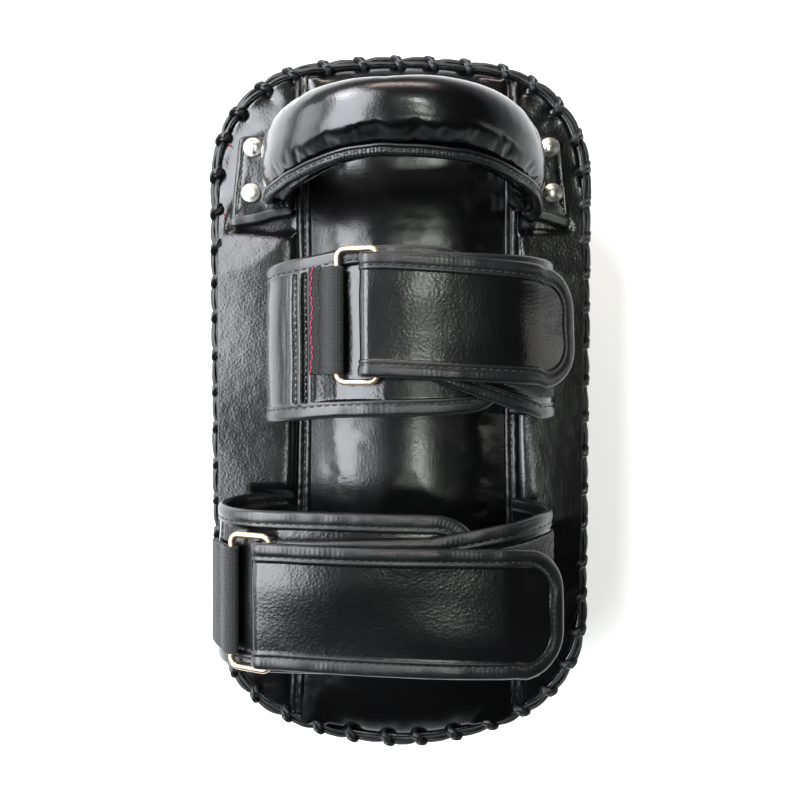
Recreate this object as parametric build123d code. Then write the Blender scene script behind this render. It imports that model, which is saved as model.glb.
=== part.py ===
from build123d import *
import os
from math import asin, atan2, cos, degrees, hypot, radians, sin

# Laced leather kick pad, lying on its strike face.
# X runs across the pad, Y along it towards the handle, Z out of its back. Millimetres.

FAR = 150.0  # a distance sideways that clears the whole pad
TALL = 200.0  # a height that clears the whole pad
LAYER_GAP = 0.1  # running gap between neighbouring layers

# ---- the padded block ----
HALF_LENGTH = 190.0
TOP_CORNER = (41.5, 123.5, 63.5)  # centre x, centre y, radius
LOW_CORNER = (40.5, -118.5, 62.0)
RIM_Z = 98.0  # top of the back panels where they meet the side
FRONT_SEAM_Z = 16.0  # seam between the strike face and the side
FRONT_ROUND = 13.0
LEATHER = 2.0
SIDE_INSET = 2.5  # the side leather stands this far inside the lace
PANEL_INSET = 3.6
FOAM_INSET = SIDE_INSET + LEATHER + 0.1
FOAM_ROUND = 11.0
PIPING_INSET = 0.9
PIPING_HEIGHT = 4.0
HARD_FOAM_TOP = 30.0
BOARD_Z = 74.0
BOARD_THICK = 3.0
BOARD_INSET = 9.0

# ---- the forearm cushion between the two bound seams ----
SEAM_LEFT = ((-58.6, -190.0), (-52.5, 0.0), (-55.0, 190.0))
SEAM_RIGHT = ((65.5, -190.0), (60.5, 0.0), (62.0, 190.0))
SEAM_HALF = 3.5
SEAM_TOP = 101.6
CUSHION_MID = 4.0
CUSHION_HALF_SPAN = 56.0
CUSHION_EDGE = 99.0  # height where the cushion meets its seams
CUSHION_CROWN = 112.0
CUSHION_END = 186.0
CUSHION_END_Z = 98.2
COVER_THICK = 1.8

# ---- the laced edge ----
STITCHES = 53
LACE_THICK = 2.2
LACE_WIDTH = 4.2
STRAND_TOP = 96.6
LEG_WIDTH = 3.0
LACE_SINK = 0.2  # how far a stitch sits inside the faces of the running strand
LEG_TOP = RIM_Z + 1.8
LEG_INSET = 8.6
SIDE_LEG_BOTTOM = 86.0
HOLE_RADIUS = 2.4
HOLE_LEG_DEPTH = 1.2  # how far a stitch dips into its hole

# ---- the handle ----
HANDLE_MID_X = 0.5
HANDLE_Y = (108.0, 144.0)
HANDLE_BASE_Z = 101.0
HANDLE_OUT = (73.0, 88.0)  # half width and height of the outer arch
HANDLE_IN = (57.0, 60.0)
HANDLE_ROUND = 6.5
HANDLE_SKIN = 2.2
HANDLE_CUT_Z = 109.0  # the padded arch starts above the bending roots
FIN = (68.5, 80.0, 5.0)  # half width, height and thickness of the bound seam
FIN_DEPTH = 4.0
TAB_Y = (95.0, 146.0)
TAB_LOW_X = 93.5  # the tabs narrow towards the top of the pad
TAB_TOP_X = 89.5
TAB_INNER = (-59.5, 66.5)  # where the left and the right tab end under the handle
TAB_THICK = 3.0
TAB_CORNER = 4.0
TAB_FOLD = (7.0, 5.4)  # width and height of the turned lower edge
RIVET_AT = ((-81.0, 139.0), (-82.0, 114.0), (81.5, 139.0), (83.5, 114.0))
RIVET_HEAD = 5.1
RIVET_DOME = 2.2
RIVET_SHANK = 2.0
SHANK_GAP = 0.1
BURR_RADIUS = 4.5
BURR_THICK = 1.5
BURR_GAP = 0.2
FOLD_ROUND = 2.0

# ---- the straps, as distances out from the arch that the arm sees ----
WIRE = 1.5  # radius of the ring's wire
BAND = (0.0, 3.2)
BAND_BOUND = (-0.7, 3.9)
WEBBING = (4.0, 6.8)
PULL = (5.0, 7.4)
PULL_BOUND = (4.2, 8.2)
LOOP = (7.45, 8.7)
HOOK = (9.9, 10.95)
FLAP = (11.0, 13.4)
FLAP_BOUND = (10.1, 14.3)
BAR_LEFT_OUT = 7.0
BAR_RIGHT_OUT = 9.2
RING_LONG = 64.5
RING_CORNER = 4.0
RUNNING_GAP = 0.08
BOUND = 8.0  # width of the edge binding
PLATE_INSET = 1.2  # a strap's middle layer stops this far inside its edge
BAND_CORNER = 22.0
FLAP_CORNER = 20.0
FOLD_RUN = 1.2  # the fold is drawn on past the ring's bar by this
PULL_WIDE_X = 74.0  # the pull band has its full width from here to its root
LOOP_END_ANGLE = 8.0
LOOP_INSET = 2.0
HOOK_INSET = 1.5
HOOK_START = 25.0  # the hook patch starts this far past the ring's bar
WEBBING_SEWN = 7.0  # the webbing is sewn down this far before the bar
ROOT_Z = SEAM_TOP + 0.15
PANEL_ROOT_Z = RIM_Z + 0.15
ROOT_OVERRUN = 6.0  # degrees by which a strap is drawn past its root before it is cut level

MID = dict(
    name="mid", root_l=ROOT_Z, seam_l=-52.5, seam_r=53.5, left=-64.5, right=69.5, side_z=127.0,
    side_r=28.0, top=160.5, bars=(-29.4, -10.6), turn=-14.6, left_on_side=False,
    ring_y=40.6, webbing_w=50.0, webbing_x=-44.5,
    band=dict(tip=52.0, y0=(-7.0, 69.0), y1=(-5.0, 70.0)),
    pull=dict(root=(-8.0, 70.0), bend=(14.0, 10.5, 70.0), tip=(11.9, 69.3)),
    flap=dict(tip=84.0, y0=(11.9, 69.3), y1=(7.0, 64.0), side=20.0, tail=22.0),
)
LOW = dict(
    name="low", root_l=PANEL_ROOT_Z, seam_l=-62.5, seam_r=56.5, left=-88.0, right=68.5, side_z=131.0,
    side_r=28.0, top=162.0, bars=(-79.3, -60.0), turn=-64.0, left_on_side=True,
    ring_y=-92.0, webbing_w=50.0, webbing_x=-86.0,
    band=dict(tip=38.0, y0=(-126.0, -50.0), y1=(-126.0, -52.0)),
    pull=dict(root=(-129.0, -53.0), bend=(14.0, -125.0, -62.0), tip=(-120.9, -63.1)),
    flap=dict(tip=76.0, y0=(-120.9, -63.1), y1=(-127.0, -67.0), side=16.0, tail=20.0),
)


def crown_radius(span, rise, corner):
    """Radius of the arc that caps two equal corner arcs, each span from the middle."""
    return (span**2 + rise**2 - corner**2) / (2 * (rise - corner))


def arc(centre, radius, start, end):
    """An arc in plan from one angle to another, in degrees."""
    turn = [radians(a) for a in (start, (start + end) / 2, end)]
    points = [(centre[0] + radius * cos(a), centre[1] + radius * sin(a)) for a in turn]
    return ThreePointArc(*points)


def outline(inset=0.0):
    """The pad's plan outline, moved inwards by inset."""
    arcs = []
    for (cx, cy, r), way in ((TOP_CORNER, 1), (LOW_CORNER, -1)):
        big = crown_radius(cx, HALF_LENGTH - abs(cy), r)
        centre_y = way * (HALF_LENGTH - big)
        lean = degrees(asin(cx / (big - r)))
        arcs.append((cx, cy, r - inset, centre_y, big - inset, lean))
    # both side lines touch the upper and the lower corner arcs
    (tx, ty, tr, tcy, tbig, tlean), (lx, ly, lr, lcy, lbig, llean) = arcs
    dx, dy = tx - lx, ty - ly
    slope = degrees(asin((lr - tr) / hypot(dx, dy)) - atan2(dx, dy))
    edges = [
        arc((0, tcy), tbig, 90 + tlean, 90 - tlean),
        arc((tx, ty), tr, 90 - tlean, slope),
        arc((lx, ly), lr, slope, -90 + llean),
        arc((0, lcy), lbig, -90 + llean, -90 - llean),
        arc((-lx, ly), lr, -90 - llean, -180 - slope),
        arc((-tx, ty), tr, 180 - slope, 90 + tlean),
    ]
    edges.insert(2, Line(edges[1] @ 1, edges[2] @ 0))
    edges.insert(6, Line(edges[5] @ 1, edges[6] @ 0))
    return Wire(edges)


def slab(inset, bottom, top):
    """The plan outline as a block between two heights."""
    face = Face(outline(inset))
    return extrude(Pos(0, 0, bottom) * face, top - bottom, dir=(0, 0, 1))


def hoop(outer, inner, bottom, top):
    """A wall that follows the outline."""
    return slab(outer, bottom, top) - slab(inner, bottom - 1, top + 1)


def seam_arc(seam, shift):
    return ThreePointArc(*[(x + shift, y) for x, y in seam])


def between(first, first_shift, second, second_shift, bottom, top):
    """A block between two seam lines, each moved sideways by its shift."""
    a = seam_arc(first, first_shift)
    b = seam_arc(second, second_shift)
    face = Face(Wire([a, Line(a @ 1, b @ 1), b, Line(b @ 0, a @ 0)]))
    return extrude(Pos(0, 0, bottom) * face, top - bottom, dir=(0, 0, 1))


def save(node, shape):
    shape.label = node
    export_step(shape, f"parts/{node}.step")


# ---------------------------------------------------------------- padded block
def rounded_block(inset, bottom, top, rounding):
    block = slab(inset, bottom, top)
    return fillet(block.edges().group_by(Axis.Z)[0], rounding)


def cushion(drop, edge_trim):
    """The pillow between the seams. drop lowers its surface, edge_trim narrows it."""
    crown, edge = CUSHION_CROWN - drop, CUSHION_EDGE - drop
    half = CUSHION_HALF_SPAN
    floor = RIM_Z - LEATHER + LAYER_GAP / 2
    across = ThreePointArc(
        (CUSHION_MID - half, 0, edge), (CUSHION_MID, 0, crown), (CUSHION_MID + half, 0, edge)
    )
    sides = Polyline(
        across @ 1, (CUSHION_MID + half, 0, floor), (CUSHION_MID - half, 0, floor), across @ 0
    )
    wide = extrude(Face(Wire([across, *sides.edges()])), 2 * HALF_LENGTH, dir=(0, 1, 0))
    wide = Pos(0, -HALF_LENGTH, 0) * wide
    end_z = CUSHION_END_Z - drop
    along = ThreePointArc(
        (0, -CUSHION_END - 3, end_z), (0, 0, crown + 0.5), (0, CUSHION_END + 3, end_z)
    )
    ends = Polyline(
        along @ 1, (0, CUSHION_END + 3, floor), (0, -CUSHION_END - 3, floor), along @ 0
    )
    long = extrude(Face(Wire([along, *ends.edges()])), 4 * half, dir=(1, 0, 0))
    long = Pos(-2 * half, 0, 0) * long
    trim = SEAM_HALF + LAYER_GAP + edge_trim
    plan = between(SEAM_LEFT, trim, SEAM_RIGHT, -trim, floor, crown + 5)
    inside_lace = PANEL_INSET + LEG_INSET + edge_trim
    return wide & long & plan & slab(inside_lace, floor, crown + 5)


def stitch_frames():
    """Where each lace stitch crosses the edge, with the direction that points inwards."""
    path = outline(0.0)
    for n in range(STITCHES):
        u = (n + 0.5) / STITCHES
        point, along = path @ u, path % u
        inward = Vector(-along.Y, along.X, 0)
        if inward.dot(Vector(0, 0, 0) - point) < 0:
            inward = inward * -1
        yield point, degrees(atan2(inward.Y, inward.X))


def stitch(reach_in, reach_out, width, bottom, top):
    """A bar across the edge, from reach_out to reach_in inside the outline."""
    length = reach_in - reach_out
    bar = Box(length, width, top - bottom)
    return Pos((reach_in + reach_out) / 2, 0, (top + bottom) / 2) * bar


def padded_block():
    tray = rounded_block(SIDE_INSET, 0, FRONT_SEAM_Z, FRONT_ROUND)
    tray -= rounded_block(SIDE_INSET + LEATHER, LEATHER, FRONT_SEAM_Z + 5, FOAM_ROUND)
    save("strike_face", tray)

    panel_floor = RIM_Z - LEATHER
    gusset = hoop(SIDE_INSET, SIDE_INSET + LEATHER, FRONT_SEAM_Z, panel_floor)
    save("side_gusset", gusset)

    low, high = FRONT_SEAM_Z - PIPING_HEIGHT / 2, FRONT_SEAM_Z + PIPING_HEIGHT / 2
    cord = hoop(PIPING_INSET, SIDE_INSET, low, high)
    save("front_piping", cord)

    hard = rounded_block(FOAM_INSET, LEATHER + LAYER_GAP, HARD_FOAM_TOP, FOAM_ROUND)
    save("core_foam_hard", hard)
    soft = slab(FOAM_INSET, HARD_FOAM_TOP + LAYER_GAP, BOARD_Z - LAYER_GAP)
    save("core_foam_soft", soft)
    save("stiffener_board", slab(BOARD_INSET, BOARD_Z, BOARD_Z + BOARD_THICK))

    back = slab(FOAM_INSET, BOARD_Z + BOARD_THICK + LAYER_GAP, panel_floor - LAYER_GAP)
    panels = slab(PANEL_INSET, panel_floor, RIM_Z)
    hole = Cylinder(HOLE_RADIUS, 4 * LEATHER)
    holes = []
    for point, heading in stitch_frames():
        place = Pos(point.X, point.Y, RIM_Z) * Rot(0, 0, heading)
        holes.append(place * Pos(LEG_INSET - LEG_WIDTH / 2, 0, 0) * hole)
    panels -= holes
    for x, y in RIVET_AT:
        panels -= Pos(x, y, RIM_Z) * Cylinder(RIVET_SHANK + SHANK_GAP, 4 * LEATHER)
        pocket = Cylinder(BURR_RADIUS + BURR_GAP, 2 * BURR_THICK + 1)
        back -= Pos(x, y, panel_floor) * pocket
    save("core_foam_back", back)

    edge = SEAM_HALF + LAYER_GAP
    low, high = panel_floor - 1, RIM_Z + 1
    left = panels & block_beyond(SEAM_LEFT, -edge, -1, low, high)
    right = panels & block_beyond(SEAM_RIGHT, edge, 1, low, high)
    save("back_panel_left", left)
    save("back_panel_right", right)

    middle = panels & between(SEAM_LEFT, edge, SEAM_RIGHT, -edge, low, high)
    filling = cushion(COVER_THICK, COVER_THICK)
    save("forearm_cushion_cover", middle + cushion(0.0, 0.0) - filling)
    save("forearm_cushion_foam", filling)

    reach = slab(PANEL_INSET + LEG_INSET, panel_floor, SEAM_TOP)
    for node, seam in (("seam_binding_left", SEAM_LEFT), ("seam_binding_right", SEAM_RIGHT)):
        strip = between(seam, -SEAM_HALF, seam, SEAM_HALF, panel_floor, SEAM_TOP) & reach
        save(node, strip)

    lace = hoop(0.0, LACE_THICK, STRAND_TOP - LACE_WIDTH, STRAND_TOP)
    outer, inner = LACE_SINK, LACE_THICK - LACE_SINK
    over = stitch(LEG_INSET, outer, LEG_WIDTH, RIM_Z + LAYER_GAP, LEG_TOP)
    over += stitch(inner, outer, LEG_WIDTH, STRAND_TOP - 1, LEG_TOP)
    over += stitch(LEG_INSET, LEG_INSET - LEG_WIDTH, LEG_WIDTH, RIM_Z - HOLE_LEG_DEPTH, LEG_TOP)
    over += stitch(inner, PIPING_INSET, LEG_WIDTH, SIDE_LEG_BOTTOM, STRAND_TOP - 0.5)
    legs = [Pos(p.X, p.Y, 0) * Rot(0, 0, heading) * over for p, heading in stitch_frames()]
    save("edge_lace", lace.fuse(*legs))


def block_beyond(seam, shift, side, bottom, top):
    """Everything on one side of a seam line."""
    a = seam_arc(seam, shift)
    far = FAR * side
    wire = Wire([a, *Polyline(a @ 1, (far, HALF_LENGTH), (far, -HALF_LENGTH), a @ 0).edges()])
    return extrude(Pos(0, 0, bottom) * Face(wire), top - bottom, dir=(0, 0, 1))


# ---------------------------------------------------------------------- handle
def level_box(bottom, top):
    """Everything between two heights."""
    return Pos(0, 0, (bottom + top) / 2) * Box(2 * FAR, 4 * HALF_LENGTH, top - bottom)


def half_oval(half_width, height, y0, y1):
    """The upper half of an oval, standing on the tabs."""
    oval = Plane.XZ * Ellipse(half_width, height)
    solid = extrude(Pos(HANDLE_MID_X, y0, HANDLE_BASE_Z) * oval, y1 - y0, dir=(0, 1, 0))
    return solid & level_box(HANDLE_BASE_Z, HANDLE_BASE_Z + TALL)


def arch_block(outer, inner, y0, y1):
    return half_oval(*outer, y0, y1) - half_oval(*inner, y0 - 1, y1 + 1)


def handle():
    y0, y1 = HANDLE_Y
    full = arch_block(HANDLE_OUT, HANDLE_IN, y0, y1)
    long_edges = full.edges().filter_by(GeomType.ELLIPSE)
    full = fillet(long_edges, HANDLE_ROUND)
    above = level_box(HANDLE_CUT_Z, HANDLE_CUT_Z + TALL)
    skin = HANDLE_SKIN
    inner_out = (HANDLE_OUT[0] - skin, HANDLE_OUT[1] - skin)
    inner_in = (HANDLE_IN[0] + skin, HANDLE_IN[1] + skin)
    core = arch_block(inner_out, inner_in, y0 + skin, y1 - skin)
    core = fillet(core.edges().filter_by(GeomType.ELLIPSE), HANDLE_ROUND - skin)
    core &= above
    fin_w, fin_h, fin_t = FIN
    fin = arch_block((fin_w, fin_h), (fin_w - fin_t, fin_h - fin_t), y0 - FIN_DEPTH, y0 + 3)
    padded = (full & above) - core
    bound = (fin & above) - full
    save("handle_cover", padded)
    save("handle_core", core)
    save("handle_binding", bound)

    tab_top = RIM_Z + LAYER_GAP + TAB_THICK
    save("handle_roots", full & level_box(ROOT_Z, HANDLE_CUT_Z - LAYER_GAP))

    for node, side in (("handle_tab_left", -1), ("handle_tab_right", 1)):
        low = RIM_Z + LAYER_GAP
        inner = TAB_INNER[(side + 1) // 2]
        corners = (
            (inner, TAB_Y[0]), (side * TAB_LOW_X, TAB_Y[0]),
            (side * TAB_TOP_X, TAB_Y[1]), (inner, TAB_Y[1]),
        )
        plan = plan_block(corners, ((2, TAB_CORNER),))
        tab = plan & level_box(low, low + TAB_THICK)
        fold_w, fold_h = TAB_FOLD
        fold = Pos(0, TAB_Y[0] + fold_w / 2, low + fold_h / 2) * Box(2 * FAR, fold_w, fold_h)
        fold = fillet(fold.edges().filter_by(Axis.X), FOLD_ROUND)
        tab += fold & plan
        for x, y in RIVET_AT:
            tab -= Pos(x, y, low) * Cylinder(RIVET_SHANK + SHANK_GAP, 6 * TAB_THICK)
        save(node, tab)

    rivets, burrs = [], []
    burr_top = RIM_Z - LEATHER - LAYER_GAP / 2
    for x, y in RIVET_AT:
        foot = burr_top - BURR_THICK
        length = tab_top - foot + 2 * LAYER_GAP
        shank = Pos(x, y, (foot + tab_top) / 2) * Cylinder(RIVET_SHANK, length)
        ball = (RIVET_HEAD**2 + RIVET_DOME**2) / (2 * RIVET_DOME)
        dome = Pos(x, y, tab_top + RIVET_DOME - ball) * Sphere(ball)
        dome &= level_box(tab_top + LAYER_GAP / 2, tab_top + TALL)
        rivets.append(dome + shank)
        ring = Cylinder(BURR_RADIUS, BURR_THICK)
        ring -= Cylinder(RIVET_SHANK + SHANK_GAP / 2, 6 * BURR_THICK)
        burrs.append(Pos(x, y, burr_top - BURR_THICK / 2) * ring)
    save("handle_rivets", Compound(children=rivets))
    save("rivet_burrs", Compound(children=burrs))


# ---------------------------------------------------------------------- straps
def arch_segments(s):
    """The arm arch, from the left seam over the top to the right seam.

    Each piece is centre x, centre z, radius, start angle and end angle in degrees.
    """
    r, zs = s["side_r"], s["side_z"]
    rise_left, rise_right = zs - s["root_l"], zs - ROOT_Z
    d_left = s["seam_l"] - s["left"]
    d_right = s["right"] - s["seam_r"]
    low_left = (d_left**2 + rise_left**2) / (2 * d_left)
    low_right = (d_right**2 + rise_right**2) / (2 * d_right)
    span = (s["right"] - s["left"]) / 2 - r
    middle = (s["right"] + s["left"]) / 2
    big = crown_radius(span, s["top"] - zs, r)
    lean = degrees(asin(span / (big - r)))
    foot_left = degrees(asin(rise_left / low_left))
    foot_right = degrees(asin(rise_right / low_right))
    return dict(
        foot_l=(s["left"] + low_left, zs, low_left, 180 + foot_left + ROOT_OVERRUN, 180.0),
        side_l=(s["left"] + r, zs, r, 180.0, 90 + lean),
        top=(middle, s["top"] - big, big, 90 + lean, 90 - lean),
        side_r=(s["right"] - r, zs, r, 90 - lean, 0.0),
        foot_r=(s["right"] - low_right, zs, low_right, 0.0, -foot_right - ROOT_OVERRUN),
    )


def angle_at(segment, x, out):
    """The angle on a piece of the arch where its upper side passes x."""
    cx, cz, r, start, end = segment
    return 90 - degrees(asin((x - cx) / (r + out)))


def point_at(segment, angle, out):
    cx, cz, r, start, end = segment
    a = radians(angle)
    return (cx + (r + out) * cos(a), 0.0, cz + (r + out) * sin(a))


def strip(pieces, layer, tail=0.0, floor=ROOT_Z):
    """A layer of strap as a long block across Y, cut level at floor, with a straight tail."""
    near, far = layer
    rows = []
    for out in (near, far):
        edges = []
        for p in pieces:
            middle = (p[3] + p[4]) / 2
            edges.append(ThreePointArc(*[point_at(p, a, out) for a in (p[3], middle, p[4])]))
        if tail:
            a = radians(pieces[-1][4])
            end = edges[-1] @ 1
            edges.append(Line(end, end + Vector(sin(a), 0, -cos(a)) * tail))
        rows.append(edges)
    closing = [Line(rows[0][-1] @ 1, rows[1][-1] @ 1), Line(rows[1][0] @ 0, rows[0][0] @ 0)]
    face = Face(Wire([*rows[0], *rows[1], *closing]))
    block = Pos(0, -HALF_LENGTH, 0) * extrude(face, 2 * HALF_LENGTH, dir=(0, 1, 0))
    return block & level_box(floor, floor + TALL)


def cut(segment, start=None, end=None):
    cx, cz, r, a, b = segment
    return (cx, cz, r, a if start is None else start, b if end is None else end)


def plan_block(points, rounded=()):
    """A plan shape as a tall block; the corners named in rounded get that radius."""
    face = Face(Wire(Polyline(*points, close=True).edges()))
    for number, radius in rounded:
        corner = face.vertices().sort_by_distance(Vector(*points[number]))[0]
        face = fillet([corner], radius)
    return extrude(face, TALL, dir=(0, 0, 1))


def band_plan(far, tip, y_far, y_tip, inset, corner):
    """Plan of a strap that ends in a rounded tip."""
    way = 1 if tip > far else -1
    tip_x = tip - way * inset
    points = (
        (far, y_far[0] + inset), (tip_x, y_tip[0] + inset),
        (tip_x, y_tip[1] - inset), (far, y_far[1] - inset),
    )
    radius = max(corner - inset, 2.0)
    return plan_block(points, ((1, radius), (2, radius)))


def strap(s):
    name = s["name"]
    arch = arch_segments(s)
    side_l, top, side_r = arch["side_l"], arch["top"], arch["side_r"]

    # the left band, sewn to the left seam and lying on the arm
    b = s["band"]
    pieces = [arch["foot_l"], side_l, cut(top, end=angle_at(top, b["tip"] + 2, 0))]
    whole, inside, heart = [
        band_plan(-FAR, b["tip"], b["y0"], b["y1"], inset, BAND_CORNER)
        for inset in (0.0, BOUND, PLATE_INSET)
    ]
    plate = strip(pieces, BAND, floor=s["root_l"]) & heart
    bound = strip(pieces, BAND_BOUND, floor=s["root_l"]) & whole
    save(f"{name}_ring_band", plate)
    save(f"{name}_ring_band_binding", bound - inside - plate)

    # the webbing loop that holds the ring's left bar
    on = side_l if s["left_on_side"] else top
    bar_left = angle_at(on, s["bars"][0], BAR_LEFT_OUT)
    short = degrees(WEBBING_SEWN / (on[2] + WEBBING[0]))
    sewn_from = angle_at(on, s["webbing_x"], 0)
    pieces = [cut(on, start=sewn_from, end=bar_left + short)]
    width = s["webbing_w"]
    low_y = s["ring_y"] - width / 2
    length = Pos(0, s["ring_y"], ROOT_Z + TALL / 2) * Box(2 * FAR, width, TALL)
    doubled = strip(pieces, WEBBING) & length
    x, _, z = point_at(on, bar_left, BAR_LEFT_OUT)
    wrap_out = BAR_LEFT_OUT - WEBBING[0] - LAYER_GAP / 5
    end_in = point_at(on, bar_left + short, WEBBING[0])
    end_out = point_at(on, bar_left + short, WEBBING[1])
    round_bar = Pos(x, z) * Circle(wrap_out)
    joining = Line((end_in[0], end_in[2]), (end_out[0], end_out[2]))
    drop_shape = make_hull([*round_bar.edges(), joining])
    eye = Plane.XZ * (drop_shape - Pos(x, z) * Circle(WIRE + RUNNING_GAP))
    eye = Pos(0, low_y, 0) * extrude(eye, width, dir=(0, 1, 0))
    save(f"{name}_webbing_loop", doubled + eye)

    # the wire ring
    bar_right = angle_at(top, s["bars"][1], BAR_RIGHT_OUT)
    x2, _, z2 = point_at(top, bar_right, BAR_RIGHT_OUT)
    apart = hypot(x2 - x, z2 - z)
    tilt = degrees(atan2(z2 - z, x2 - x))
    path = RectangleRounded(apart, RING_LONG - 2 * WIRE, RING_CORNER).wire()
    profile = Plane(origin=path @ 0, z_dir=path % 0) * Circle(WIRE)
    ring = sweep(profile, path=path)
    ring = Pos((x + x2) / 2, s["ring_y"], (z + z2) / 2) * Rot(0, -tilt, 0) * ring
    save(f"{name}_ring", ring)

    # the pull band, sewn to the right seam and running to the ring
    q = s["pull"]
    stop = s["bars"][1] + WIRE + FOLD_RUN
    (root_lo, root_hi), (bend_x, bend_lo, bend_hi), (tip_lo, tip_hi) = (
        q["root"], q["bend"], q["tip"]
    )
    pieces = [cut(top, start=angle_at(top, stop, PULL[0])), side_r, arch["foot_r"]]

    def pull_plan(inset):
        wide, beyond = PULL_WIDE_X, stop - 20
        return plan_block((
            (FAR, root_lo + inset), (wide, root_lo + inset), (bend_x, bend_lo + inset),
            (beyond, tip_lo + inset), (beyond, tip_hi - inset),
            (bend_x, bend_hi - inset), (wide, root_hi - inset), (FAR, root_hi - inset),
        ))

    plate = strip(pieces, PULL) & pull_plan(PLATE_INSET)
    save(f"{name}_pull_band", plate)
    bound = (strip(pieces, PULL_BOUND) & pull_plan(0.0)) - pull_plan(BOUND) - plate
    save(f"{name}_pull_band_binding", bound)
    pieces = [cut(top, start=angle_at(top, bend_x, LOOP[0])), cut(side_r, end=LOOP_END_ANGLE)]
    save(f"{name}_loop_patch", strip(pieces, LOOP) & pull_plan(BOUND + LOOP_INSET))

    # the turn round the ring's right bar, and the flap that it leads to
    fold_in, fold_out = PULL[1], FLAP[0]
    turn = angle_at(top, s["turn"], BAR_RIGHT_OUT)
    gap = degrees(LAYER_GAP / top[2])
    begin = angle_at(top, stop, PULL[0]) + gap
    lower = strip([cut(top, start=turn, end=begin)], PULL)
    upper = strip([cut(top, start=turn, end=begin)], FLAP)
    tx, _, tz = point_at(top, turn, (fold_in + fold_out) / 2)
    outer = Cylinder((FLAP[1] - PULL[0]) / 2, 2 * HALF_LENGTH, rotation=(90, 0, 0))
    inner = Cylinder((FLAP[0] - PULL[1]) / 2, 2 * HALF_LENGTH, rotation=(90, 0, 0))
    bend = Pos(tx, 0, tz) * (outer - inner)
    half_space = Pos(FAR / 2, 0, 0) * Box(FAR, 4 * HALF_LENGTH, FAR)
    bend &= Pos(tx, 0, tz) * Rot(0, 270 - turn, 0) * half_space
    fold = lower + upper + bend
    width = tip_hi - tip_lo - 2 * LAYER_GAP
    fold &= Pos(0, (tip_lo + tip_hi) / 2, ROOT_Z + TALL / 2) * Box(2 * FAR, width, TALL)
    save(f"{name}_strap_turn", fold)

    f = s["flap"]
    reach = side_r[3] - f["side"]
    pieces = [cut(top, start=begin - 2 * gap), cut(side_r, end=reach)]
    whole, inside, heart, patch = [
        band_plan(-FAR, f["tip"], f["y0"], f["y1"], inset, FLAP_CORNER)
        for inset in (0.0, BOUND, PLATE_INSET, BOUND + HOOK_INSET)
    ]
    plate = strip(pieces, FLAP, f["tail"]) & heart
    save(f"{name}_flap", plate)
    bound = (strip(pieces, FLAP_BOUND, f["tail"]) & whole) - inside - plate
    save(f"{name}_flap_binding", bound)
    first = angle_at(top, s["bars"][1] + HOOK_START, HOOK[0])
    pieces = [cut(top, start=first), cut(side_r, end=reach)]
    save(f"{name}_hook_patch", strip(pieces, HOOK) & patch)


os.makedirs("parts", exist_ok=True)
padded_block()
handle()
strap(MID)
strap(LOW)
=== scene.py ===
import math
import bmesh
import bpy
import numpy as np
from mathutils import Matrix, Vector, kdtree


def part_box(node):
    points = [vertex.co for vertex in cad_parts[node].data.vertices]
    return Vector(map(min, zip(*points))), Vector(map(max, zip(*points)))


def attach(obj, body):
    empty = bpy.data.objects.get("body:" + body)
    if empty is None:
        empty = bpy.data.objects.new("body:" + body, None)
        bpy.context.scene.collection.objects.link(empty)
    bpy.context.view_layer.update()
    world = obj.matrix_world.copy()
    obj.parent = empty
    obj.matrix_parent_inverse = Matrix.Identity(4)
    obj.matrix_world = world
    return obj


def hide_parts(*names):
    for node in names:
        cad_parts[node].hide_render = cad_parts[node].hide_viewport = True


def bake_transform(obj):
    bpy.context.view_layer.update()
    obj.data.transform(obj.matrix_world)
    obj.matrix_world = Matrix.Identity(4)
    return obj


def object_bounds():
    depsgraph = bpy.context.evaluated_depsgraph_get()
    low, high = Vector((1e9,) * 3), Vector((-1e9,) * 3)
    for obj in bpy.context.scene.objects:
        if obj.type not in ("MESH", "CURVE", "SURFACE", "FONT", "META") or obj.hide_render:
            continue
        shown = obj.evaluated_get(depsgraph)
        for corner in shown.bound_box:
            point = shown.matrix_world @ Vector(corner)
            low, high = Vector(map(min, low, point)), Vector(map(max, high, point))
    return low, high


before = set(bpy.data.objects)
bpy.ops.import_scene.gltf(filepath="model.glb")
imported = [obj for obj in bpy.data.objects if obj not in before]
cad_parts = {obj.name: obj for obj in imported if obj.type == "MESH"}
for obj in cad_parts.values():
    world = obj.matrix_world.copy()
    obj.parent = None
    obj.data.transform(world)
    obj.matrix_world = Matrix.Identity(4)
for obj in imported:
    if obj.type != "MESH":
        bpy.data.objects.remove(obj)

# Laced leather kick pad. Lengths in this file are millimetres until a mesh is made.
MM = 0.001
cad_low, cad_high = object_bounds()
scene = bpy.context.scene
draw = np.random.default_rng(11)


def span(node):
    """A CAD node's box in millimetres."""
    low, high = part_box(node)
    return np.array(low) / MM, np.array(high) / MM


# ------------------------------------------------------------------ materials
def new_material(name):
    mat = bpy.data.materials.new(name)
    mat.use_nodes = True
    tree = mat.node_tree
    shader = tree.nodes["Principled BSDF"]
    return mat, tree, shader


def add(tree, kind, **values):
    node = tree.nodes.new(kind)
    for key, value in values.items():
        if key in node.inputs:
            node.inputs[key].default_value = value
        else:
            setattr(node, key, value)
    return node


def noise(tree, coords, scale, detail=3.0, rough=0.5, stretch=None):
    source = coords
    if stretch:
        mapping = add(tree, "ShaderNodeMapping")
        mapping.inputs["Scale"].default_value = stretch
        tree.links.new(coords, mapping.inputs["Vector"])
        source = mapping.outputs["Vector"]
    node = add(tree, "ShaderNodeTexNoise", Scale=scale, Detail=detail, Roughness=rough)
    tree.links.new(source, node.inputs["Vector"])
    return node.outputs["Fac"]


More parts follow.
